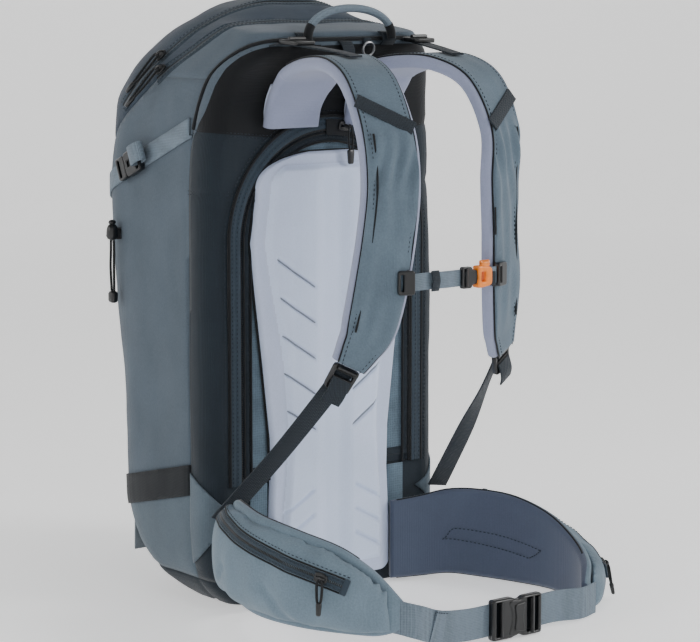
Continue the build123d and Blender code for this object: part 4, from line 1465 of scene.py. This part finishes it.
def sternum_buckles(middle, chest_y):
    male = Form()
    outline = [(-8, -10), (3, -10), (4.5, -7), (11, -6), (12, 0), (11, 6), (4.5, 7), (3, 10), (-8, 10)]
    plate(male, [corner_round(outline, 2), rectangle(3.4, 16, 1, (-3.5, 0))], (14, chest_y - 1.2, CHEST_Z),
          (1, 0, 0), (0, 0, 1), 5.0, 0, 0.9)
    male.tube([(11, chest_y - 3.6, CHEST_Z - 8), (11, chest_y - 3.6, CHEST_Z + 8)], 1.5, 0)
    male.piece("chest_buckle_male", [BLACK], "sternum_male", "black_plastic", ["sternum_buckle_male"])
    female = Form()
    outline = [(-9, -10), (-4, -10.4), (6, -9), (9, -7), (9, 7), (6, 9), (-4, 10.4), (-9, 10), (-7.4, 0)]
    plate(female, [corner_round(outline, 2), rectangle(5, 9, 1.5, (-1.5, 0))], (31.5, chest_y - 1.5, CHEST_Z),
          (1, 0, 0), (0, 0, 1), 9.0, 0, 1.8)
    female.box((32.5, chest_y - 3, CHEST_Z + 11.5), UPRIGHT, (10, 6.5, 7), 2.4, 0)
    female.tube([(27.5, chest_y - 3, CHEST_Z + 13.2), (37.5, chest_y - 3, CHEST_Z + 13.2)], 1.9, 0)
    end = middle[0] - 7
    line = np.array([(x, chest_y, CHEST_Z) for x in np.arange(39, end, 0.8)])
    female.ribbon(line, off_back(line), 15.5, 2.6, 1, ribs=0.2)
    female.ribbon(line[:8] + (2, -2.2, -3), off_back(line[:8]), 13, 1.4, 2)
    female.piece("chest_buckle_female", [ORANGE, WEB, DARK_WEB], "sternum_left", "orange_plastic",
                 ["sternum_buckle_female"])


# ---- hip belt ----
def fin_rows(path, step=3.0):
    """Smooth plan line of a fin with its outward direction and edge heights."""
    rows = spline([(x, y, 0, low, high) for x, y, low, high in path], step)
    plan = rows[:, :3] * (1, 1, 0)
    along = tangents(plan)
    out = np.cross([[0, 0, 1.0]], along)
    return plan, along, unit(out), rows[:, 3], rows[:, 4]


def fin_solid(form, path, sign, first, last, thickness, mat, close=0.0):
    """The padded band of a fin from one share of its length to another."""
    plan, _, out, low, high = fin_rows(path)
    share = np.linspace(0, 1, len(plan))
    keep = (share >= first) & (share <= last)
    plan, out, low, high, share = plan[keep], out[keep], low[keep], high[keep], share[keep]
    profiles = []
    points = plan + np.array([[0, 0, 1.0]]) * ((low + high) / 2)[:, None]
    for a, b, s in zip(low, high, share):
        end = float(steady(last + 0.004, last - 0.10, s)) ** 0.5 if close else 1.0
        thin = thickness * (0.45 + 0.55 * end)
        outline = subdivided(foam_profile((b - a) * (1 - close * (1 - end)), thin), 10)
        profiles.append(outline)
    ups = np.repeat([[0, 0, 1.0]], len(points), 0)
    before = len(form.mats)
    form.sweep(mirror_x(points, sign), ups, mirror_x(out, sign), profiles, mat)
    outer = np.mean(profiles, axis=0)[:, 1]
    size = len(outer)
    facing = [1 if outer[k] > 0.5 or outer[(k + 1) % size] > 0.5 else 0 for k in range(size)]
    for i in range((len(points) - 1) * size):
        form.mats[before + i] = facing[i % size]
    return points, out, low, high, share


def hip_fins():
    for sign, side, path in ((1, "left", LEFT_FIN), (-1, "right", RIGHT_FIN)):
        form = Form()
        points, out, low, high, share = fin_solid(form, path, sign, 0.0, 1.0, FIN_PAD, 0, close=0.35)
        body = ("pack", f"fin_{side}", (sign * 112, -29, 50), (sign * 138, -48, 50))
        obj = form.piece(f"hip_pad_{side}", [FIN_FOAM, POCKET], body, "strap_foam",
                         [f"hip_fin_{side}"] + (["hip_wing_bases"] if sign > 0 else []), sharp=0)
        trim = Form()
        for edge, line in ((-1, low), (1, high)):
            rim = points * (1, 1, 0) + np.array([[0, 0, 1.0]]) * (line - edge * 0.6)[:, None] + out * 1.5
            trim.tube(mirror_x(rim[2:-14] - out[2:-14] * 3.0, sign), 1.1, 0)
        fin_patch(trim, points, out, low, high, share, sign)
        trim.piece(f"hip_pad_trim_{side}", [BINDING, THREAD], body, "dark_fabric")
        hip_pocket(sign, side, path, body)


def fin_patch(trim, points, out, low, high, share, sign):
    """Stitched parallelogram on the inner face of a fin."""
    corners = [(0.19, 0.42), (0.23, 0.54), (0.385, 0.52), (0.58, 0.48), (0.53, 0.33), (0.385, 0.37),
               (0.19, 0.42)]
    line, ups = [], []
    for (s0, v0), (s1, v1) in zip(corners, corners[1:]):
        for t in np.linspace(0, 1, 20, endpoint=False):
            s, v = s0 + (s1 - s0) * t, v0 + (v1 - v0) * t
            i = int(np.argmin(np.abs(share - s)))
            z = low[i] + (high[i] - low[i]) * v
            crown = 1.2 * (1 - (2 * v - 1) ** 2)
            line.append(points[i] * (1, 1, 0) + (0, 0, z) - out[i] * (FIN_PAD / 2 + crown - 0.1))
            ups.append(-out[i])
    trim.seam(mirror_x(line, sign), mirror_x(ups, sign), 0, 1, lift=0.4)


POCKET_SHARE = {"left": (0.28, 0.97), "right": (0.22, 0.965)}


def hip_pocket(sign, side, path, body):
    """A stretch pocket on the outside of a fin: blown up by simulation, then creased and zipped."""
    plan, along, out, low, high = fin_rows(path, 3.0)
    share = np.linspace(0, 1, len(plan))
    first, last = POCKET_SHARE[side]
    keep = (share >= first) & (share <= last)
    plan, along, out, low, high, share = (a[keep] for a in (plan, along, out, low, high, share))
    local = (share - share[0]) / (share[-1] - share[0])
    rises = np.linspace(0, 1, 34)

    def point(i, v):
        end = min(1.0, steady(-0.02, 0.20, local[i]) ** 0.6, steady(1.02, 0.76, local[i]) ** 0.7)
        belly = (1 - abs(2 * v - 1) ** 2.6) ** 0.55
        depth = FIN_PAD / 2 - 1 + (POCKET_DEPTH - 5) * end * belly
        z = low[i] + 2 + (high[i] - low[i] - 4) * v
        return plan[i] + out[i] * depth + np.array([0, 0, z])

    verts = [point(i, v) for i in range(len(plan)) for v in rises]
    for i in range(len(plan)):
        for v in rises:
            z = low[i] + 2 + (high[i] - low[i] - 4) * v
            verts.append(plan[i] + out[i] * (FIN_PAD / 2 - 1.5) + np.array([0, 0, z]))
    form = Form()
    form.add(mirror_x(verts, sign), sheet_faces(len(plan), len(rises)))
    obj = form.piece(f"hip_pouch_{side}", [POCKET], body, "strap_cover", wrap=False, sharp=0)
    swell(obj, 4.0, 4.0, 4.0)
    zip_line = np.array([point(i, 0.95 - 0.36 * t) for i, t in enumerate(local)])
    crease_pouch(obj, zip_line, sign, point, local)
    smooth_mod = obj.modifiers.new("finer", "SUBSURF")
    smooth_mod.levels = smooth_mod.render_levels = 1
    bake(obj)
    tidy_faces(obj, 0)
    place(obj, body, [f"hip_pocket_{side}"])
    pouch_zip(obj, sign, side, body, zip_line, local)


def crease_pouch(obj, zip_line, sign, point, local):
    """Vertex moves after the simulation: a groove at the zip, two darts and loose folds."""
    count = len(local)
    dart_rows = []
    for start, lean in ((0.20, 0.10), (0.66, -0.13)):
        dart = []
        for t in np.linspace(0, 1, 12):
            i = int(np.clip((start + lean * t) * count, 0, count - 1))
            dart.append(point(i, 0.04 + 0.36 * t))
        dart_rows.append(mirror_x(dart, sign))
    zip_tree, dart_tree = kdtree.KDTree(count), kdtree.KDTree(24)
    for i, p in enumerate(mirror_x(zip_line, sign)):
        zip_tree.insert(Vector(p), i)
    for i, p in enumerate(np.vstack(dart_rows)):
        dart_tree.insert(Vector(p), i)
    zip_tree.balance()
    dart_tree.balance()
    bm = bmesh.new()
    bm.from_mesh(obj.data)
    bm.normal_update()
    for v in bm.verts:
        p = v.co / MM
        _, _, near_zip = zip_tree.find(p)
        _, _, near_dart = dart_tree.find(p)
        fold = noise.noise(Vector((p.x / 24, p.y / 24, p.z / 60)) + Vector((2.0 + sign, 5.0, 0)))
        ripple = sin(p.z / 6.5 + 3 * fold) * np.exp(-(near_dart / 13.0) ** 2)
        height = 2.6 * fold + 1.2 * ripple
        height -= 4.2 * np.exp(-(near_dart / 4.2) ** 2)
        height -= 1.2 * np.exp(-(near_zip / 5.0) ** 2)
        v.co += v.normal * float(height) * MM
        v.co.z = max(v.co.z, 0.4 * MM)
    bm.to_mesh(obj.data)
    bm.free()


def nearest_on(obj, points):
    """Points moved onto an object's surface, with its normals there."""
    rows, ups = [], []
    for p in points:
        _, co, normal, _ = obj.closest_point_on_mesh(Vector(p) * MM)
        rows.append(np.array(co) / MM)
        ups.append(np.array(normal))
    return np.array(rows), np.array(ups)


def pouch_zip(obj, sign, side, body, zip_line, local):
    """Zip, its two bindings, end tabs and slider on a pouch."""
    keep = (local > 0.05) & (local < 0.84)
    points, ups = nearest_on(obj, mirror_x(zip_line[keep], sign))
    points, ups = smooth(points, 3), unit(smooth(ups, 3))
    form = Form()
    form.zip(points, ups, 4.4, lift=0.5)
    for offset in (-6.6, 6.6):
        form.tube(nearest_on(obj, edge_line(points, ups, offset, 0.3))[0], 0.9, 3)
    form.seam(*nearest_on(obj, edge_line(points, ups, 9.4 * sign, 0.3)), 0, 2, lift=0.5)
    for end, way in ((0, 1), (-1, -1)):
        axis = tangents(points)[end] * way
        form.box(points[end] + ups[end] * 0.8, (axis, unit(np.cross(axis, ups[end])), ups[end]),
                 (6, 15, 2.6), 1.2, 0)
    form.piece(f"hip_zip_{side}", [TAPE, COIL, THREAD, BINDING], body, "zip_coil")
    at = int(len(points) * 0.9)
    along = tangents(points)[at]
    slider(points[at] + ups[at] * 2.0, along, ups[at], f"hip_slider_{side}", f"hip_slider_{side}",
           f"hip_zip_slider_{side}", hang=30, low=(0, 0, -1))


def slider(origin, along, out, name, body, node, hang=30, low=(0, 0, -1), spread=2.4):
    """A zip slider with a doubled cord pull and a moulded tip."""
    origin, along, out, low = (np.asarray(a, float) for a in (origin, along, out, low))
    along, out = unit(along), unit(out)
    side = unit(np.cross(out, along))
    form = Form()
    outline = corner_round([(-4.2, -6), (4.2, -6), (5.0, 1), (2.4, 6.2), (-2.4, 6.2), (-5.0, 1)], 2)
    plate(form, [outline], origin, side, along, 2.6, 0, 0.8)
    form.tube(spline([origin - along * 4 + out * 1.0, origin - along * 2.5 + out * 4.0,
                      origin + along * 2.5 + out * 4.0, origin + along * 4 + out * 1.0], 0.8), 1.1, 0)
    start = origin + out * 3.6
    hang_way = unit(low - out * low.dot(out))
    cross = unit(np.cross(hang_way, out))
    for sign in (-1, 1):
        cord = spline([start, start + hang_way * 5 + cross * sign * spread + out * 0.4,
                       start + hang_way * (hang * 0.55) + cross * sign * spread * 0.9 + out * 0.1,
                       start + hang_way * (hang - 7) + cross * sign * 0.9], 1.2)
        form.tube(cord, 1.25, 1)
    tip = start + hang_way * (hang - 3)
    form.box(tip, (cross, out, hang_way), (5.6, 4.2, 12), 1.6, 0, taper=0.8)
    form.piece(name, [BLACK, CORD_MAT], body, "black_plastic", [node])


def belt():
    left = [(HIP_X + 6, BELT_Y, BELT_Z), (HIP_X + 30, BELT_Y, BELT_Z), (HIP_X + 56, BELT_Y, BELT_Z),
            (112, -243.5, BELT_Z - 2), (141, -233, BELT_Z - 3)]
    right = [(HIP_X - 20, BELT_Y, BELT_Z), (0, BELT_Y, BELT_Z), (-30, BELT_Y, BELT_Z),
             (-62, -244, BELT_Z + 4), (-90, -249, BELT_Z + 14), (-108, -240, BELT_Z + 20)]
    for name, route, body, node in (("belt_webbing_left", left, "fin_left", "hip_webbing_left"),
                                    ("belt_webbing_right", right, "fin_right", "hip_webbing_right")):
        points = spline(route, 0.9)
        points[:, 1] += [0.5 * noise.noise(Vector((p[0] / 22, 3.0, 0))) for p in points]
        ups = np.cross(tangents(points * (1, 1, 0)), [[0, 0, 1.0]])
        ups *= np.sign(-ups[:, 1:2])
        form = Form()
        form.ribbon(points, ups, BELT_WIDTH, 1.7, 0, ribs=0.2)
        if name.endswith("right"):
            fold = points[(points[:, 0] < -56) & (points[:, 0] > -72)]
            form.ribbon(fold, off_back(fold), BELT_WIDTH - 1, 1.6, 0, 1.8, ribs=0.2)
            form.seam(fold + (0, -2.8, 0), off_back(fold), 13, 1)
        form.piece(name, [WEB, THREAD], body, "webbing", [node])
    belt_buckle()


def belt_buckle():
    """Side release buckle: the socket on the right belt, the pronged half on the left one."""
    female = Form()
    y = BELT_Y
    outline = corner_round([(-16, -19), (8, -19), (14, -16), (9, -9), (7.5, 0), (9, 9), (14, 16), (8, 19),
                            (-16, 19)], 3)
    plate(female, [outline, rectangle(5, 31, 1.5, (-9.5, 0))], (HIP_X - 14, y - 3, BELT_Z), (1, 0, 0),
          (0, 0, 1), 9, 0, 2.0)
    female.tube([(HIP_X - 28.5, y - 6, BELT_Z - 17), (HIP_X - 28.5, y - 6, BELT_Z + 17)], 2.4, 0)
    female.tube([(HIP_X - 19.5, y - 7, BELT_Z - 16), (HIP_X - 19.5, y - 7, BELT_Z + 16)], 1.6, 0)
    female.piece("belt_buckle_socket", [BLACK], "fin_right", "black_plastic", ["hip_buckle_female"])
    male = Form()
    outline = corner_round([(-14, -15), (-7, -18), (0, -16), (5, -19), (27, -19), (27, 19), (5, 19), (0, 16),
                            (-7, 18), (-14, 15), (-10.5, 7), (-9.5, 0), (-10.5, -7)], 3)
    plate(male, [outline, rectangle(5, 31, 1.5, (20.5, 0)), rectangle(4.5, 31, 1.5, (11.5, 0))],
          (HIP_X + 1.5, y - 4.5, BELT_Z), (1, 0, 0), (0, 0, 1), 8, 0, 2.0)
    crest = corner_round([(-7, -12), (6, -14), (4, -5), (3.5, 0), (4, 5), (6, 14), (-7, 12), (-5.2, 0)], 2.5)
    plate(male, [crest], (HIP_X + 1.5, y - 8.6, BELT_Z), (1, 0, 0), (0, 0, 1), 2.4, 0, 1.0)
    male.tube([(HIP_X + 17.2, y - 8.2, BELT_Z - 17), (HIP_X + 17.2, y - 8.2, BELT_Z + 17)], 1.7, 0)
    male.piece("belt_buckle_prongs", [BLACK], "hip_male", "black_plastic", ["hip_buckle_male"])


# ---- small pieces ----
def compression_set():
    for sign, side in SIDES:
        along = unit(np.array([0, 1, -0.43]))
        out = np.array([sign * 1.0, 0, 0])
        up = unit(np.cross(out, along)) * sign
        middle = np.array([sign * 145.5, 128, 418.0])
        form = Form()
        outline = corner_round([(-25, -12), (-2, -12), (0, -9), (0, 9), (-2, 12), (-25, 12)], 2.5)
        windows = [outline, rectangle(3.6, 19, 1, (-20.5, 0)), rectangle(7, 6, 1, (-8, 0))]
        plate(form, windows, middle, along, up, 7, 0, 1.4)
        form.piece(f"side_buckle_{side}", [BLACK], "pack", "black_plastic",
                   ["compression_buckles"] if sign > 0 else [])
        roll = Form()
        centre = middle - along * 27 + out * 4.5 + up * 3
        turns = []
        for a in np.linspace(0, 2 * pi * 1.7, 60):
            r = 9.5 - 0.9 * a / pi
            turns.append(centre + along * r * cos(a) * 1.15 + out * (r * sin(a) * 0.62))
        line = smooth(turns, 1)
        roll.ribbon(line, unit(line - centre), 18.5, 1.4, 0)
        roll.piece(f"rolled_tail_{side}", [WEB], "pack", "dark_fabric")
        clip = Form()
        outline = corner_round([(1, -11), (15, -11), (15, 11), (1, 11)], 2.5)
        plate(clip, [outline, rectangle(3.4, 17, 1, (10.5, 0))], middle, along, up, 6.4, 0, 1.3)
        clip.box(middle - along * 4, (along, up, out), (10, 11, 2.6), 0.8)
        clip.piece(f"side_clip_{side}", [BLACK], f"compression_{side}", "black_plastic",
                   [f"compression_clip_{side}"])


def hood_details():
    def arch(start, end, count):
        return [(HAUL_HALF * cos(a), HAUL_Y, LIP_Z + HAUL_RISE * sin(a) ** 0.8)
                for a in np.linspace(start, end, count)]

    form = Form()
    form.tube(arch(pi, 0, 60), 3.9, 0, 14)
    for sign in (-1, 1):
        form.tube(mirror_x(arch(pi, 2.75, 10), -sign), 4.4, 1, 14)
    form.piece("haul_cord", [WEB, BINDING], "haul", "webbing", ["haul_loop"])
    loops = Form()
    for sign in (-1, 1):
        foot = spline([(sign * HAUL_HALF, y, LIP_Z + rise)
                       for y, rise in ((-25, 6), (-31, 5), (-33.5, -1), (-29, -6))], 0.8)
        ups = np.cross(tangents(foot), [[1.0, 0, 0]])
        loops.ribbon(foot, ups, 16, 1.8, 0)
    hose = spline([(0, -25, LIP_Z - 2), (0, -31, LIP_Z - 4), (0, -35, LIP_Z - 12), (0, -31, LIP_Z - 20),
                   (0, -24, LIP_Z - 20)], 0.8)
    loops.ribbon(hose, np.cross(tangents(hose), [[1.0, 0, 0]]), 14, 1.5, 0)
    ring = [(26 + 6.5 * cos(a), -31.5 - 1.2 * sin(a), LIP_Z - 10 + 6.5 * sin(a)) for a in
            np.linspace(0, 2 * pi, 36, endpoint=False)]
    loops.tube(ring, 1.2, 1, 8, closed=True)
    loops.box((26, -29, LIP_Z - 3), UPRIGHT, (9, 3.5, 8), 1.0, 0)
    loops.piece("hood_webbing_loops", [DARK_WEB, METAL], "pack", "webbing", ["hood_loops"])


def door_slider_set():
    x, z = DOOR_HALF * cos(SLIDER_ANGLE), DOOR_ARCH_Z + DOOR_HALF * sin(SLIDER_ANGLE)
    along = np.array([sin(SLIDER_ANGLE), 0, -cos(SLIDER_ANGLE)])
    form = Form()
    outline = corner_round([(-7, -4.6), (7, -4.6), (7.6, 0), (7, 4.6), (-7, 4.6)], 2)
    plate(form, [outline], (x, -5.2, z), along, (along[2], 0, -along[0]), 4.0, 0, 1.2)
    form.tube(spline([(x - 4 * along[0], -7, z - 4 * along[2]), (x - 2, -11, z), (x + 2, -11, z),
                      (x + 4 * along[0], -7, z + 4 * along[2])], 0.8), 1.2, 0)
    form.piece("door_slider_body", [BLACK], "door_slider", "black_plastic", ["door_zip_slider"])
    pull = Form()
    for sign in (-1, 1):
        pull.tube(spline([(x, -14.2, z + 2), (x + sign * 2.4, -15.6, z - 5), (x + sign * 2.2, -15.8, z - 16),
                          (x + sign * 0.8, -15.8, z - 25)], 1.2), 1.0, 1)
    pull.box((x, -15.8, z - 29), ((1, 0, 0), (0, 1, 0), (0, 0, -1)), (8, 4, 14), 1.6, 0, taper=0.8)
    pull.piece("door_pull_tab", [BLACK, CORD_MAT], "door_pull", "black_plastic", ["door_zip_pull"])


def crown_sliders():
    side_out = unit(np.array([-31.0, 0, 21.0]))
    for name, body, node, start, way in (
        ("main_slider_pull", "main_slider", "main_zip_slider", (-127.5, 92, 510.5),
         (0.378793, -0.737457, 0.559171)),
        ("front_slider_pull", "front_slider", "front_zip_slider", (-119.5, 103, 523.5),
         (0.444638, -0.609487, 0.656371)),
    ):
        slider(np.array(start) + side_out * 2.5, way, side_out, name, body, node, hang=46,
               low=(-0.1, 0.35, -1), spread=3.4)


def axe_holder():
    x, y = -149.0, 151.0
    lock = Form()
    lock.box((x, y, 352), UPRIGHT, (12, 11, 16), 4.0, 0, taper=0.82)
    lock.box((x + 7.5, y, 350), UPRIGHT, (9, 9, 11), 1.6, 1)
    lock.piece("axe_cord_lock", [BLACK, BINDING], "pack", "black_plastic", ["cord_lock"])
    button = Form()
    button.box((x, y, 361.5), UPRIGHT, (7, 7, 5), 2.4, 0)
    button.piece("axe_lock_button", [BLACK], "lock_button", "black_plastic", ["cord_lock_button"])
    toggle = Form()
    toggle.box((x, y, 288), UPRIGHT, (7.6, 9.6, 12), 2.6, 0)
    toggle_obj = toggle.piece("axe_cord_toggle", [BLACK], "pack", "black_plastic", ["cord_toggle"])
    for number, side in enumerate((-1, 1)):
        line = bpy.data.curves.new(f"axe_cord_strand_{number}", "CURVE")
        line.dimensions = "3D"
        line.bevel_depth = 1.3 * MM
        line.bevel_resolution = 3
        route = line.splines.new("NURBS")
        stops = [(x, y + side * 2.6, 344), (x, y + side * 2.9, 332), (x - 0.6, y + side * 3.2, 319),
                 (x - 0.3, y + side * 2.8, 306), (x, y + side * 2.4, 294)]
        route.points.add(len(stops) - 1)
        for p, stop in zip(route.points, stops):
            p.co = [c * MM for c in stop] + [1]
        route.order_u = 3
        route.use_endpoint_u = True
        obj = add_object(f"axe_cord_strand_{number}", line)
        line.materials.append(CORD_MAT)
        place(obj, "pack", ["axe_cord"] if number == 0 else [])
        [c * MM for c in stops[0]]


# ---- camera, lights and floor ----
def studio():
    reach, bend, wall = 3.6, 1.6, 3.2
    line = [(0.0, 0.0), (reach, 0.0)]
    line += [(reach + bend * sin(a), bend - bend * cos(a)) for a in np.linspace(0.1, pi / 2, 12)]
    line.append((reach + bend, wall))
    turns = 72
    verts = [(r * cos(a), r * sin(a), z) for r, z in line for a in np.arange(turns) * 2 * pi / turns]
    faces = [(i * turns + k, i * turns + (k + 1) % turns, (i + 1) * turns + (k + 1) % turns,
              (i + 1) * turns + k) for i in range(len(line) - 1) for k in range(turns)]
    floor = bpy.data.meshes.new("floor")
    floor.from_pydata(verts, [], faces)
    floor.polygons.foreach_set("use_smooth", [True] * len(faces))
    ground = add_object("floor", floor)
    paint = Paint("floor_paint", 0.9, specular=0.1)
    paint.tint((252, 252, 252), paint.noise(300, 2), 0.01)
    paint.shader.inputs["Emission Color"].default_value = (1, 1, 1, 1)
    paint.shader.inputs["Emission Strength"].default_value = FLOOR_GLOW
    floor.materials.append(paint.done())
    world = bpy.data.worlds.new("studio")
    world.use_nodes = True
    soft = world.node_tree.nodes["Background"]
    soft.inputs["Color"].default_value = (1, 1, 1, 1)
    soft.inputs["Strength"].default_value = WORLD_GLOW
    bpy.context.scene.world = world
    target = Vector((0, 0, AIM_HEIGHT))
    for name, spot, size, power in LIGHTS:
        lamp = bpy.data.lights.new(name, "AREA")
        lamp.size = size
        lamp.energy = power
        obj = add_object(name, lamp)
        obj.location = spot
        obj.rotation_euler = (target - Vector(spot)).to_track_quat("-Z", "Y").to_euler()


LIGHTS = [
    ("key", (1.6, -1.9, 1.6), 0.8, 27),
    ("left_rim", (-2.2, 0.6, 1.2), 0.8, 10),
    ("top", (0.1, -0.3, 2.3), 1.0, 9),
]


def camera():
    away = Vector((-0.60967, -0.78034, 0.13917))
    right = Vector((0.78801, -0.61566, 0.0))
    up = Vector((0.08568, 0.10967, 0.99027))
    lens = bpy.data.cameras.new("camera")
    lens.lens = 127.1
    lens.sensor_width = 36
    obj = add_object("camera", lens)
    turn = Matrix((right, up, away)).transposed().to_4x4()
    place_at = Vector((0, 0, AIM_HEIGHT)) + away * 2.4 + right * 0.0223 - up * 0.0220
    obj.matrix_world = Matrix.Translation(place_at) @ turn
    bpy.context.scene.camera = obj


def carried():
    """CAD nodes that stay visible take a finished material."""
    for name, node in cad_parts.items():
        if not node.hide_render:
            node.data.materials.clear()
            node.data.materials.append(STAY_METAL if name == "frame_stays" else BLACK)


STAY_METAL = metal("stay_aluminium", (176, 178, 182))
BODY, PATHS = build_shell()
shell_pieces(BODY)
shell_trim(PATHS)
side_bands(BODY)
anchor_wings(BODY)
BODY.free()
door_pieces()
back_pads()
inside_pieces()
straps()
yokes()
strap_hardware()
sternum()
hip_fins()
belt()
compression_set()
hood_details()
door_slider_set()
crown_sliders()
axe_holder()
carried()
studio()
camera()
